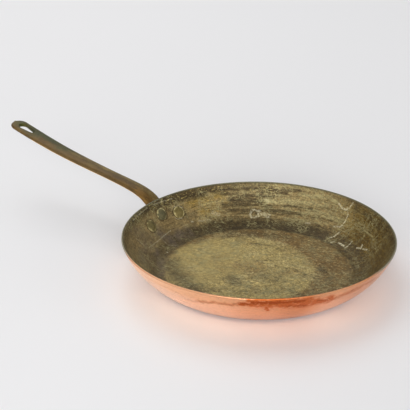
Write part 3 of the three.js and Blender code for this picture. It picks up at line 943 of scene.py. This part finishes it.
FRESH_SCRATCHES = (
    (1.8, 0.65, (-75.7, 87.7, 11.3), (-76.6, 91.6, 14.6), (-74.7, 94.8, 15.8), (-70.6, 95.8, 14.2)),
    (1.8, 0.65, (-70.6, 95.8, 14.2), (-67.7, 92.9, 10.5), (-69.9, 89.3, 9.3)),
    (1.8, 0.65, (-69.9, 89.3, 9.3), (-72.9, 86.8, 9.3), (-75.7, 87.7, 11.3)),
    (2.6, 0.5, (-70, 96.8, 14.6), (-65.4, 96.3, 11.8), (-58.4, 98.2, 10)),
    (1.8, 0.4, (-64.4, 98.7, 13.1), (-57.7, 101, 11.7)),
    (4, 0.35, (-105.4, 58.6, 15.7), (-101.1, 62.1, 13.8)),
    (2, 0.3, (-109.6, 38.9, 11.7), (-103.3, 50.5, 10.6)),
    (1.5, 0.7, (11.5, 133.4, 33.6), (16.2, 131.3, 30.8), (22.9, 129.9, 30.2)),
    (1.5, 0.6, (22.9, 129.9, 30.2), (26.8, 131.5, 34.3), (29.2, 133.4, 39)),
    (1.8, 0.5, (16.7, 116.9, 13.3), (24.2, 117.2, 14.7), (25.5, 119, 16.8)),
    (1, 0.9, (25.7, 117.7, 15.6), (27.2, 122, 20.5), (27.7, 126.7, 26.7)),
    (1, 0.3, (27.3, 127.3, 27.5), (23.6, 131.6, 33.3)),
    (1.5, 0.75, (19.4, 105.4, 5), (23.3, 107.3, 6.7), (26.5, 112, 10.7)),
    (1.6, 0.6, (25, 99, 3.1), (27.2, 101.5, 4)),
    (1.9, 0.85, (34.1, 100.7, 4.6), (42.4, 97.6, 4.7)),
    (1.4, 0.7, (45.3, 95, 4.1), (48.1, 100.4, 7.7), (48.7, 103.1, 9.8)),
    (1.6, 0.8, (60.1, 95.1, 8.6), (65.8, 93.8, 10.2), (64.4, 97.8, 12.4)),
    (1.6, 0.75, (68.9, 92.7, 11), (75.2, 90.2, 12.7)),
    (0.9, 0.35, (-136.7, -6.6, 39.8), (-136.2, 6.1, 38.6), (-134.1, 22.2, 37.8)),
    (1.2, 0.35, (-127.1, -49.9, 39), (-132.1, -34.7, 39.2), (-135.7, -17.6, 39.8)),
    (1.6, 0.5, (-113.8, 30.2, 13), (-112.7, 32.3, 12.6)),
    (1, 0.3, (-107.3, -47.8, 12.7), (-111.7, -29.8, 11.1)),
    (1, 0.4, (-111.7, -29.8, 11.1), (-115, -16.1, 11.5), (-117, -0.3, 12.3)),
    (1, 0.3, (-110.8, -19.4, 8.6), (-105.7, -18.8, 5.1), (-101.2, -10.9, 3)),
    (1, 0.35, (-114.6, -59.7, 26), (-109.5, -53.8, 17.2)),
    (1.4, 0.9, (-97.6, -29.6, 3.1), (-97, -29.8, 2.9)),
    (1, 0.35, (-129.8, 20.4, 29.4), (-128.9, 26.1, 29.5), (-125.5, 30.6, 25.9)),
    (1, 0.5, (-124.7, 14.1, 21.1), (-121.8, 17.5, 18.3), (-120.6, 22.9, 17.9)),
    (3, 0.2, (-69, 108.4, 25), (-66.1, 108.3, 22.8)),
    (1.6, 0.4, (-16.9, 112.3, 9.5), (-12.3, 113.4, 9.8)),
)
DARK_STREAKS = (
    (3.6, 1, (-118, 66, 37), (-103, 87, 36), (-76, 111, 35), (-38, 130, 37)),
    (3.4, 1, (-108, 78, 32), (-75, 109, 32), (-51, 123, 33)),
    (7, 1, (-98, 83, 26), (-88, 93, 24), (-73, 104, 23)),
    (5, 0.7, (-94, 80, 20), (-84, 91, 19)),
    (4.6, 0.85, (-103, 73, 21), (-92, 85, 21), (-82, 95, 20), (-70, 104, 20)),
    (3.4, 0.7, (-84, 99, 30), (-74, 108, 29)),
    (4.4, 0.8, (-97, 74, 16), (-83, 88, 15), (-68, 100, 15), (-50, 110, 15), (-28, 117, 15)),
    (2.2, 0.9, (-89, 87, 20), (-70, 103, 20), (-42, 118, 21), (-18, 125, 22)),
    (3, 0.9, (-84, 82, 14), (-68, 99, 15), (-45, 111, 15), (-26, 117, 15)),
    (2, 0.6, (-44, 110, 14), (-7, 121, 16), (12, 121, 17)),
    (1.6, 0.5, (-33, 123, 24), (-4, 129, 26), (16, 128, 26)),
    (2, 0.5, (-70, 110, 28), (-52, 121, 30), (-36, 127, 31)),
    (4.6, 1, (-97, 90, 28), (-80, 104, 28), (-64, 114, 28)),
    (8, 1, (-123, -59, 39), (-132, -34, 40), (-136, -11, 39), (-135, 16, 37)),
    (8, 1, (-135, 16, 37), (-129, 40, 35), (-120, 61, 35)),
    (6, 0.6, (-132, 13, 32), (-129, 14, 26)),
    (5, 0.5, (-125, 31, 26), (-118, 28, 17)),
    (5, 0.5, (34, 130, 34), (55, 123, 35), (79, 108, 33)),
)
WIPED_STREAKS = (
    (5, 0.9, (-72, 105, 23), (-59, 112, 22)),
    (7, 0.6, (-68, 110, 26), (-34, 125, 26), (-3, 130, 28)),
    (2.4, 0.8, (-67, 102, 17), (-40, 115, 17), (-15, 121, 18)),
    (3, 0.7, (-41, 107, 10), (-23, 113, 11), (6, 117, 13)),
    (6, 0.6, (-17, 123, 20), (11, 124, 20), (24, 122, 20)),
    (4, 0.7, (-37, 128, 33), (-16, 133, 34), (7, 134, 35)),
    (2, 0.25, (-95, 87, 26), (-73, 107, 27), (-46, 122, 28)),
    (3, 0.4, (-116, 55, 25), (-105, 74, 25)),
    (3.4, 0.2, (-104, 88, 39), (-78, 112, 39), (-39, 131, 40)),
    (7, 0.5, (-101, -67, 17), (-81, -80, 9)),
    (3, 0.6, (50, 115, 22), (60, 111, 23), (74, 103, 23)),
    (3, 0.5, (56, 101, 11), (61, 107, 18)),
    (3, 0.4, (42, 101, 7), (46, 105, 10), (53, 98, 8)),
)
GOLDEN_PATCHES = (
    (16, 0.9, (-125, 42, 29), (-118, 59, 30), (-107, 76, 29)),
    (12, 0.8, (-116, 49, 22), (-105, 59, 16)),
    (10, 0.6, (16, 133, 33), (31, 130, 32), (51, 125, 36)),
    (8, 0.4, (21, 124, 21), (37, 120, 21)),
)
# Partly painted shade: darker, greyer patches on the wall below the handle
GREY_SHADE_PATCHES = (
    (14, 0.6, (-121, -58, 35), (-116, -36, 17), (-88, -79, 14)),
    (14, 0.9, (-120, -19, 16), (-109, -8, 6), (-108, 18, 6)),
    (9, 0.8, (-104, -39, 7), (-88, -52, 3), (-66, -74, 3)),
)
# The same on the floor, where a point has only X and Y
FLOOR_LEVEL = 2.5  # millimetres above the table
FLOOR_STROKES = (
    (6, 0.6, (-85, 21), (-81, 40), (-71, 55), (-61, 58), (-46, 57), (-28, 60), (-14, 59)),
    (6, 0.7, (-44, 56), (-28, 64), (-12, 65)),
    (10, 0.5, (-75, -6), (-74, 4)),
    (7, 0.7, (-27, 20), (-25, 29)),
    (4, 0.9, (-7, 16), (-1, 16), (7, 14)),
    (8, 0.7, (-2, -28), (-1, -16), (5, -10)),
    (8, 0.6, (8, -31), (18, -21)),
    (12, 0.4, (-58, -40), (-46, -45)),
    (12, 0.5, (8, 27), (33, 29), (57, 25)),
    (10, 0.5, (40, 11), (55, 15)),
    (8, 0.4, (74, 50), (79, 57)),
)
FLOOR_STAINS = (
    (20, 0.8, (-15, -4), (0, -3)),
    (10, 0.5, (-27, -1), (-1, 8)),
    (14, 0.6, (29, 17), (41, 21)),
    (20, 0.6, (-17, 75), (9, 64), (40, 52)),
    (18, 0.3, (39, 72), (57, 60), (69, 37)),
    (16, 0.5, (-49, 74), (-21, 88)),
)
FLOOR_DARK = (
    (16, 0.9, (-6, -34), (0, -38)),
    (7, 1, (50, 41), (57, 37)),
    (16, 0.5, (13, -10), (28, -7)),
    (3, 0.8, (31, 23), (47, 20), (61, 20)),
    (3, 0.7, (-43, 45), (-31, 50), (-20, 53)),
    (18, 0.9, (-80, -44), (-60, -62), (-36, -72), (-16, -77)),
    (12, 0.35, (0, -60), (20, -48), (36, -36), (52, -18)),
    (13, 0.6, (-76, 44), (-52, 66), (-24, 80)),
    (3, 0.6, (-63, 58), (-45, 56)),
    (4, 0.6, (5, 18), (21, 19)),
)
# How much painted shade darkens the wall, how streaked it is, how dark the ring in the corner is,
# how dark the wall is below the lip and how many flecks lie there, by degrees
SHADED = {-180: 0.15, -150: 0, -90: 0.4, -30: 0.9, 20: 1, 66: 1, 86: 0.2, 130: 0.15, 180: 0.15}
STREAKED = {-180: 0.3, -140: 0.2, 30: 0.2, 72: 0.4, 92: 1, 140: 1, 165: 0.4, 180: 0.3}
RINGED = {-180: 0.8, -150: 0.5, -90: 0.5, 10: 0.4, 60: 0.6, 95: 1, 140: 1, 165: 0.9, 180: 0.8}
BROWN_TOP = {
    -180: 1, -140: 0.7, -90: 0.3, 0: 0.6, 70: 0.5, 95: 0.2, 112: 0.5, 126: 0.85, 138: 0.8, 150: 0.9, 180: 1
}
FLECKED = {-180: 1, -150: 0.8, -110: 0.4, 0: 0.2, 90: 0.3, 145: 1, 180: 1}
BELOW_LIP = (29, 38)  # height where the brown top starts and is full
RING_WAY = (97, 102, 114, 130)  # the ring in the corner, as distance from the axis plus height
RUBBED_MIDDLE, RUBBED_EDGE = (-14, -12), (81, 75)  # where a spoon keeps the floor bright
RUBBED_OUTER = (50, 76)
SMOOTH_MIDDLE, CRACKLED_FROM = (-78, -26), (40, 78)  # one side of the floor isn't crackled
COLLAR = (6.4, 7, 8, 9.4)  # fat that stays round a rivet's head, as distance from its middle
SWEPT_TURN = 0.7  # the second set of scratches, turned from the first


def rivet_distance(tree, place, pan, section):
    """How far a point lies from the nearest rivet's middle."""
    nearest = 1.0
    for seat in rivet_seats(pan, section).values():
        away = add(tree, "VectorMath", [place, seat.translation], operation="DISTANCE")["Value"]
        nearest = add(tree, "Math", [away, nearest], operation="MINIMUM")[0]
    return nearest


def floor_distance(tree, place, middle):
    """How far a point lies from a place on the floor, given in millimetres."""
    spot = (*(c * MM for c in middle), 0)
    return add(tree, "VectorMath", [place, spot], operation="DISTANCE")["Value"]


def floor_marks(tree, place, lines):
    """One mask for a table of marks on the floor."""
    raised = [(w, s, *((x, y, FLOOR_LEVEL) for x, y in points)) for w, s, *points in lines]
    return placed_marks(tree, place, raised)


def wiped_tin(pan, section):
    """Tin melted into the pan and wiped round with a cloth.

    It has gone olive brown. The floor is rubbed lighter, fat has browned in the corner, streaks run
    round the wall, and spoons have scratched through to pale tin. Painted shade darkens the wall across
    from the handle, and, with greyer tin, the wall below the handle.
    """
    tints = pan.tin
    material, tree = finish("wiped_tin")
    place, _, turn, height, rolled, way = around(tree)
    broad = mottle(tree, place, 30, seed=2)
    blotch = mottle(tree, place, 10, seed=6, detail=5)
    # Pits and specks in old tin are finer than a pixel of the photograph: these are 3 mm
    grain = mottle(tree, place, (3.4, 3.4, 2.4), seed=14, detail=5, contrast=4)
    dust = mottle(tree, place, (1.7, 1.7, 1.4), seed=19, detail=3, contrast=5)
    specks = mottle(tree, place, 3.2, seed=61, detail=6, contrast=4.4)
    sweeps = mottle(tree, rolled, (34, 34, 2.6), seed=29, detail=4, contrast=3)
    wide_streaks = mottle(tree, rolled, (26, 26, 3.6), seed=17, detail=6, contrast=3)
    fine_streaks = mottle(tree, rolled, (13, 13, 1.6), seed=23, detail=4, contrast=3.4)
    broken = band(tree, blotch, 0.1, 0.7)
    ragged = shaken(tree, place, size=3, reach=1.6, seed=3)
    loose = shaken(tree, place, size=12, reach=8, seed=7)
    crumbled = shaken(tree, place, size=2, reach=1, seed=11)
    shaded, streaked, ringed, brown_top, flecked = (
        round_the_pan(tree, turn, table) for table in (SHADED, STREAKED, RINGED, BROWN_TOP, FLECKED)
    )

    below_lip = band_mm(tree, wavered(tree, height, blotch, 9 * MM), *BELOW_LIP)
    wiped_through = band(tree, fine_streaks, 0.15, 0.7)
    torn = band(tree, fine_streaks, 1.3, 0.5)
    wall = coats(
        tree,
        tints.wall,
        # Painted shade, strongest on the wall across from the handle
        (tints.shaded, shaded),
        (tints.golden, placed_marks(tree, loose, GOLDEN_PATCHES), broken),
        (tints.wiped, band(tree, wide_streaks, 0.45, 0.9), streaked, 0.5),
        (tints.wiped, band(tree, fine_streaks, 0.6, 1), streaked, 0.35),
        (tints.streak, band(tree, wide_streaks, 0.45, 0), streaked, broken),
        (tints.streak, band(tree, fine_streaks, 0.35, 0), 0.5),
        (tints.streak, below_lip, brown_top, 0.85),
        (tints.wiped, placed_marks(tree, ragged, WIPED_STREAKS), wiped_through),
        (tints.streak, placed_marks(tree, ragged, DARK_STREAKS), torn),
    )

    rubbed = wavered(tree, floor_distance(tree, place, RUBBED_MIDDLE), broad, 9 * MM)
    rubbed = wavered(tree, rubbed, blotch, 6 * MM)
    crackled = wavered(tree, floor_distance(tree, place, SMOOTH_MIDDLE), blotch, 30 * MM)
    crackled = band_mm(tree, crackled, *CRACKLED_FROM)
    scoured = floor_marks(tree, ragged, FLOOR_STROKES), band(tree, grain, 0.1, 0.6)
    floor = coats(
        tree,
        tints.floor_edge,
        (tints.floor, band_mm(tree, rubbed, *RUBBED_EDGE)),
        (tints.floor_edge, band(tree, mottle(tree, place, 22, seed=33, detail=5), 0.5, 0.9), 0.5),
        (tints.grey, band(tree, mottle(tree, place, 12, seed=37, detail=5), 0.5, 1), 0.5),
        (tints.floor_edge, band(tree, sweeps, 0.55, 1), band_mm(tree, rubbed, *RUBBED_OUTER), 0.5),
        (tints.stain, floor_marks(tree, loose, FLOOR_STAINS), band(tree, specks, 0.2, 0.6)),
        (tints.ring, floor_marks(tree, ragged, FLOOR_DARK), 0.8),
        (tints.pale, *scoured, 0.6),
        (tints.pale, band(tree, specks, 0.6, 1.1), crackled, 0.45),
        (tints.ring, band(tree, specks, 0.4, -0.1), crackled, 0.45),
    )

    corner = wavered(tree, way, blotch, 6 * MM)
    on_floor = band_mm(tree, corner, *RING_WAY[1::-1])
    tint = coats(
        tree,
        wall,
        (floor, on_floor),
        (tints.ring, band_mm(tree, corner, *RING_WAY), ringed),
        # Partly greyer tin, partly painted shade, below the handle
        (tints.grey_brown, placed_marks(tree, loose, GREY_SHADE_PATCHES), broken),
    )
    tint = toned(tree, tint, (broad, 0.12), (blotch, 0.35), (grain, 0.5))
    tint = coats(tree, tint, (toned(tree, tint, (dust, 0.5)), crackled))

    turned_by = {"Vector": place, "Angle": SWEPT_TURN}
    swept = add(tree, "VectorRotate", turned_by, rotation_type="Z_AXIS")[0]
    one_way = hairlines(tree, place, (16, 4, 9), seed=41)
    other_way = hairlines(tree, swept, (5, 18, 9), seed=43)
    lines = add(tree, "Math", [one_way, other_way], operation="MAXIMUM")[0]
    flecks = band(tree, mottle(tree, rolled, (4, 4, 1.8), seed=51, detail=4), 0.65, 0.95)
    near_rivet = wavered(tree, rivet_distance(tree, place, pan, section), grain, 1.6 * MM)
    flaked = band(tree, mottle(tree, place, 1.5, seed=71, detail=3, contrast=3), 0.1, 0.7)
    tint = coats(
        tree,
        tint,
        (tints.wiped, lines, band(tree, broad, 0.3, 0.7), 0.8),
        (tints.wiped, flecks, 0.35),
        (tints.fleck, flecks, below_lip, flecked, 0.8),
        (tints.streak, band_mm(tree, near_rivet, *COLLAR), 0.6),
        (tints.mark, placed_marks(tree, crumbled, FRESH_SCRATCHES), flaked),
    )
    rough = add(tree, "Math", [blotch, 0.1, 0.55], operation="MULTIPLY_ADD")[0]
    relief = add(tree, "Math", [fine_streaks, 0.5, grain], operation="MULTIPLY_ADD")[0]
    surface(tree, tint, metallic=0.55, rough=rough, height=relief, depth=0.1)
    return material


# Green places on the handle, in the same form as the tin's marks
GREEN_PATCHES = (
    (13, 0.7, (-346, 0, 82), (-318, 0, 76)),
    (9, 0.8, (-318, 4, 76), (-292, 6, 70)),
    (9, 0.6, (-284, -2, 68), (-276, 2, 66)),
)
HOLE_WALL = ((11, 1, (-344, 0, 81), (-320, 0, 76)),)
# Stretches of the handle along X in millimetres, from where each starts to where it is full
FAR_SHEEN_REACH = (-275, -248)
BEND_REACH = (-212, -190, -172, -158)
ROOT_REACH = (-185, -150)
WORN_BAR, WORN_TIP = (-322, -316, -150, -143), (-346, -352)
# The near half's browner and the far half's greyer colour are painted reflections
NEAR_HALF, FAR_HALF = (5, -6), (-2.5, 3.5)  # across it, along Y
LOWER_EDGE = (-0.1, -0.4, -0.8, -0.93)  # how far down a long edge's lower rounding faces


def cast_brass(pan):
    """Brass cast in sand, filed along its length and dull with handling.

    The upper face is olive, its near half browner and its far half greyer, painted reflections of a dark
    room and a bright table on its crown. Hollows have gone green, and the long lower edges are bright
    yellow, partly rubbed brass and partly painted highlight.
    """
    tints = pan.brass
    material, tree = finish("cast_brass")
    place = add(tree, "TexCoord")["Object"]
    x, y, _ = add(tree, "SeparateXYZ", [place])
    facing = facing_up(tree)
    filed = mottle(tree, place, (20, 1.6, 1.6), seed=4, detail=4)
    blotch = mottle(tree, place, (16, 7, 7), seed=9, detail=4)
    sand = mottle(tree, place, 1.5, seed=13, detail=3)
    along = wavered(tree, x, blotch, 30 * MM)
    near_half = band_mm(tree, wavered(tree, y, blotch, 7 * MM), *NEAR_HALF)
    far_half = band_mm(tree, wavered(tree, y, blotch, 3 * MM), *FAR_HALF)
    side = band(tree, facing, 0.9, 0.5)
    tint = coats(
        tree,
        tints.top,
        # Painted reflections: far half greyer, near half browner
        (tints.dusty, band_mm(tree, along, *FAR_SHEEN_REACH), far_half),
        (tints.brown, near_half, 0.6),
        (tints.side, side, 0.7),
        (tints.root, band_mm(tree, along, *ROOT_REACH), near_half),
        (tints.bend, band_mm(tree, along, *BEND_REACH), near_half, 0.8),
        (tints.green, placed_marks(tree, shaken(tree, place, size=8, reach=4, seed=5), GREEN_PATCHES)),
        (tints.hole, placed_marks(tree, place, HOLE_WALL), side),
    )
    tint = toned(tree, tint, (filed, 0.5), (blotch, 0.55), (sand, 0.5))
    # The lower edges: partly rubbed brass, partly painted highlight
    edge = band(tree, wavered(tree, facing, filed, 0.15), *LOWER_EDGE)
    scuffed = band(tree, filed, -0.6, 0.1)
    handled = [band_mm(tree, x, *WORN_BAR), band_mm(tree, x, *WORN_TIP)]
    handled = add(tree, "Math", handled, operation="MAXIMUM")[0]
    tint = coats(tree, tint, (tints.worn, edge, scuffed, handled))
    rough = add(tree, "Math", [filed, 0.1, 0.45], operation="MULTIPLY_ADD")[0]
    relief = add(tree, "Math", [filed, 0.6, sand], operation="MULTIPLY_ADD")[0]
    surface(tree, tint, metallic=0.7, rough=rough, height=relief, depth=0.08)
    return material


# Distances from a rivet's middle, and across the pan, in millimetres
# Round each head: a light ring, partly rubbed tin and partly painted highlight
HEAD_RIM = (5.7, 6.3, 7.4, 8)
# Across the pan: the golden tint on the side rivets, partly painted highlight
RIGHT_GOLD_HIGHLIGHT, LEFT_GOLD = (8, 14), (-8, -14)


def tinned_rivet(pan, section):
    """Hammered copper rivets, tinned with the lining and browned like it; a light rim is partly rubbed tin
    and partly painted highlight.
    """
    tints = pan.rivet
    material, tree = finish("tinned_rivet")
    place = add(tree, "TexCoord")["Object"]
    across = add(tree, "SeparateXYZ", [place])[1]
    blotch = mottle(tree, place, 5, seed=3)
    grain = mottle(tree, place, 1.4, seed=11)
    away = wavered(tree, rivet_distance(tree, place, pan, section), blotch, 0.8 * MM)
    tint = coats(
        tree,
        tints.head,
        # Partly golden tin, partly painted highlight
        (tints.golden, band_mm(tree, across, *RIGHT_GOLD_HIGHLIGHT), 0.6),
        (tints.golden, band_mm(tree, across, *LEFT_GOLD), 0.4),
    )
    tint = toned(tree, tint, (blotch, 0.5), (grain, 0.5))
    # The light ring round each head: partly rubbed tin, partly painted highlight
    rim = band_mm(tree, away, *HEAD_RIM), band(tree, blotch, 0.25, 0.85), 0.9
    tint = coats(tree, tint, (tints.rim, *rim))
    rough = add(tree, "Math", [grain, 0.2, 0.38], operation="MULTIPLY_ADD")[0]
    surface(tree, tint, metallic=0.5, rough=rough, height=blotch, depth=0.3)
    return material


def pale_table():
    """A pale matt table top with a faint sheen. It is clear from below, so the pan can be seen."""
    material, tree = finish("pale_table")
    top = {"Base Color": full(linear(TABLE_COLOUR)), "Roughness": 0.4}
    top = add(tree, "BsdfPrincipled", top)[0]
    clear = add(tree, "BsdfTransparent")[0]
    below = add(tree, "NewGeometry")["Backfacing"]
    add(tree, "OutputMaterial", {"Surface": add(tree, "MixShader", [below, top, clear])[0]})
    return material


# Operators


class MakeCopperBody(bpy.types.Operator):
    """Turns the copper body and bores it for the rivets"""

    bl_idname = "frying_pan.copper_body"
    bl_label = "Copper body"

    def execute(self, context):
        pan = context.scene.frying_pan
        section = Section(pan)
        lip = np.linspace(section.lip_slope, section.lip_slope + np.pi, LIP_STEPS + 1)[1:-1]
        outside, inside = (
            section.face(inset, section.lip_slope, FACE_RINGS) for inset in (-section.half, section.half)
        )
        profile = np.concatenate([outside, on_arc(section.lip, section.half, lip), inside[::-1]])
        points, faces = turned(profile, pan.sheet.turn_steps)
        made = piece("copper_body", points, faces, "pan_body", spun_copper(pan))
        cut(made, bores(pan, section))
        return {"FINISHED"}


class MakeTinLining(bpy.types.Operator):
    """Turns the tin lining, whose upper edge thins out on the copper"""

    bl_idname = "frying_pan.tin_lining"
    bl_label = "Tin lining"

    def execute(self, context):
        pan = context.scene.frying_pan
        section = Section(pan)
        top = section.lip_slope - pan.lining.below_lip / section.wall_radius
        edge = section.lip_slope - THIN_EDGE_AT * pan.lining.below_lip / section.wall_radius
        profile = np.concatenate(
            [
                section.face(section.lining_back, top, FACE_RINGS),
                section.at([edge], section.half + THIN_EDGE),
                section.face(section.lining_face, top, FLOOR_RINGS)[::-1],
            ]
        )
        points, faces = turned(profile, pan.sheet.turn_steps)
        made = piece("wiped_lining", points, faces, "tin_lining", wiped_tin(pan, section))
        cut(made, bores(pan, section))
        return {"FINISHED"}


class MakeHandle(bpy.types.Operator):
    """Bends the handle's blank, then cuts its hanging hole and its bores"""

    bl_idname = "frying_pan.brass_handle"
    bl_label = "Brass handle"

    def execute(self, context):
        pan = context.scene.frying_pan
        section = Section(pan)
        blank = Blank(pan, section)
        points, faces = skinned(blank.rings())
        made = piece("brass_handle", points, faces, "handle", cast_brass(pan))
        cut(made, [blank.hole_tool(), *bores(pan, section)])
        return {"FINISHED"}


def dome(radius, height, foot):
    """Points of a dome's profile, from its edge up to its middle."""
    sphere = (radius**2 + height**2) / (2 * height)
    angles = np.linspace(math.asin(radius / sphere), 0, DOME_POINTS)
    return np.stack([sphere * np.sin(angles), foot + height - sphere * (1 - np.cos(angles))], -1)


class MakeRivets(bpy.types.Operator):
    """Turns the three rivets and seats them through the wall"""

    bl_idname = "frying_pan.rivets"
    bl_label = "Rivets"

    def execute(self, context):
        pan = context.scene.frying_pan
        section = Section(pan)
        size, gap = pan.rivets, pan.lining.gap
        foot = section.lining_face + gap
        flange_top = foot + size.flange_height
        flange = size.head_radius - size.flange_width
        outside = dome(size.peened_radius, size.peened_height, gap - section.plate_outside)
        under_peened = section.plate_outside + PEENED_SINK
        under_head = section.lining_face - HEAD_SINK
        profile = [
            *(outside[::-1] * (1, -1)),
            (size.peened_radius, under_peened),
            (size.shank_radius, under_peened),
            (size.shank_radius, under_head),
            (size.head_radius, under_head),
            (size.head_radius, foot),
            (size.head_radius, foot + 0.5 * size.flange_height),
            (size.head_radius - FLANGE_EDGE, flange_top),
            (flange + FLANGE_FILLET, flange_top),
            *dome(flange, size.head_height - size.flange_height, flange_top),
        ]
        points, faces = turned(np.array(profile), RIVET_STEPS)
        made_of = tinned_rivet(pan, section)
        for name, seat in rivet_seats(pan, section).items():
            piece(f"{name}_copper", placed(points, seat), faces, name, made_of)
        return {"FINISHED"}


TABLE_COLOUR = "#EEEDED"
TABLE_STEPS = 96
OPENING_MARGIN = 1 * MM  # the opening in the table stays this far inside the flat of the base
WORLD_COLOUR, WORLD_STRENGTH = "#FBFCFF", 0.455
SENSOR_WIDTH = 36
CLIP = (0.05, 50)  # metres in front of the camera
# Round soft lights: the way to each as shares to the right, away from the camera and up, then how far
# off it hangs and how wide it is in metres, and its power in watts
LIGHTS = {
    "back": ((-0.3, 0.7, 0.9), 2.6, 2, 19),
    "front": ((-0.05, -1.0, 0.15), 12, 10, 2450),
    "left": ((-1.0, -0.3, 0.15), 12, 8, 280),
    "right": ((1.0, -0.3, 0.15), 12, 8, 280),
}


class MakeStage(bpy.types.Operator):
    """Lays the pale table, hangs the soft lights and sets the camera"""

    bl_idname = "frying_pan.stage"
    bl_label = "Stage"

    def execute(self, context):
        scene = context.scene
        pan = scene.frying_pan
        stage = pan.stage

        # Open under the flat of the base, which hides the opening, so that light reaches it from below
        opening = pan.sheet.rim_radius - pan.sheet.wall_run - OPENING_MARGIN
        count = TABLE_STEPS
        turns = np.linspace(0, 2 * np.pi, count, endpoint=False)
        circle = np.stack([np.cos(turns), np.sin(turns), 0 * turns], -1)
        points = [*(opening * circle).tolist(), *(stage.table_radius * circle).tolist()]
        faces = [(k, k + count, (k + 1) % count + count, (k + 1) % count) for k in range(count)]
        mesh = bpy.data.meshes.new("table")
        mesh.from_pydata(points, [], faces)
        mesh.materials.append(pale_table())
        table = bpy.data.objects.new("table", mesh)
        scene.collection.objects.link(table)

        turn, rise = stage.azimuth, stage.elevation
        right = Vector((math.cos(turn), math.sin(turn), 0))
        level = Vector((-math.sin(turn), math.cos(turn), 0))
        ahead = level * math.cos(rise) - Vector((0, 0, math.sin(rise)))
        upward = right.cross(ahead)
        aside, below = ((pixel - PHOTO_PIXELS / 2) / stage.focal_pixels for pixel in stage.base_pixel)
        spot = stage.distance * (upward * below - right * aside - ahead)
        data = bpy.data.cameras.new("camera")
        data.sensor_width = SENSOR_WIDTH
        data.lens = stage.focal_pixels / PHOTO_PIXELS * data.sensor_width
        data.clip_start, data.clip_end = CLIP
        camera = bpy.data.objects.new("camera", data)
        axes = Matrix((right, upward, -ahead)).transposed().to_4x4()
        camera.matrix_world = Matrix.Translation(spot) @ axes
        scene.collection.objects.link(camera)
        scene.camera = camera

        for name, (direction, distance, size, power) in LIGHTS.items():
            light = bpy.data.lights.new(name, "AREA")
            light.shape, light.size, light.energy = "DISK", size, power
            hung = bpy.data.objects.new(name, light)
            way = Vector(direction).normalized()
            way = right * way.x + level * way.y + Vector((0, 0, way.z))
            hung.location = way * distance
            hung.rotation_mode = "QUATERNION"
            hung.rotation_quaternion = way.to_track_quat("Z", "Y")
            scene.collection.objects.link(hung)

        world = bpy.data.worlds.new("studio")
        world.use_nodes = True
        background = world.node_tree.nodes["Background"].inputs
        background[0].default_value = full(linear(WORLD_COLOUR))
        background[1].default_value = WORLD_STRENGTH
        scene.world = world
        scene.view_settings.view_transform = "Standard"
        return {"FINISHED"}


class FryingPanPanel(bpy.types.Panel):
    """Buttons for each piece"""

    bl_idname = "VIEW3D_PT_frying_pan"
    bl_label = "Frying pan"
    bl_space_type = "VIEW_3D"
    bl_region_type = "UI"
    bl_category = "Frying pan"

    def draw(self, context):
        for operator in OPERATORS:
            self.layout.operator(operator.bl_idname)


OPERATORS = (MakeStage, MakeCopperBody, MakeTinLining, MakeHandle, MakeRivets)
FINISHES = (CopperFinish, TinFinish, BrassFinish, RivetFinish)
SIZES = (SheetSizes, LiningSizes, RivetSizes, HandleSizes)
CLASSES = (*SIZES, *FINISHES, StageSettings, FryingPan, *OPERATORS, FryingPanPanel)


def register():
    for one in CLASSES:
        bpy.utils.register_class(one)
    bpy.types.Scene.frying_pan = PointerProperty(type=FryingPan)


def unregister():
    del bpy.types.Scene.frying_pan
    for one in reversed(CLASSES):
        bpy.utils.unregister_class(one)


def main():
    """Builds every piece and the stage."""
    register()
    for operator in OPERATORS:
        group, name = operator.bl_idname.split(".")
        getattr(getattr(bpy.ops, group), name)()


if __name__ == "__main__":
    main()
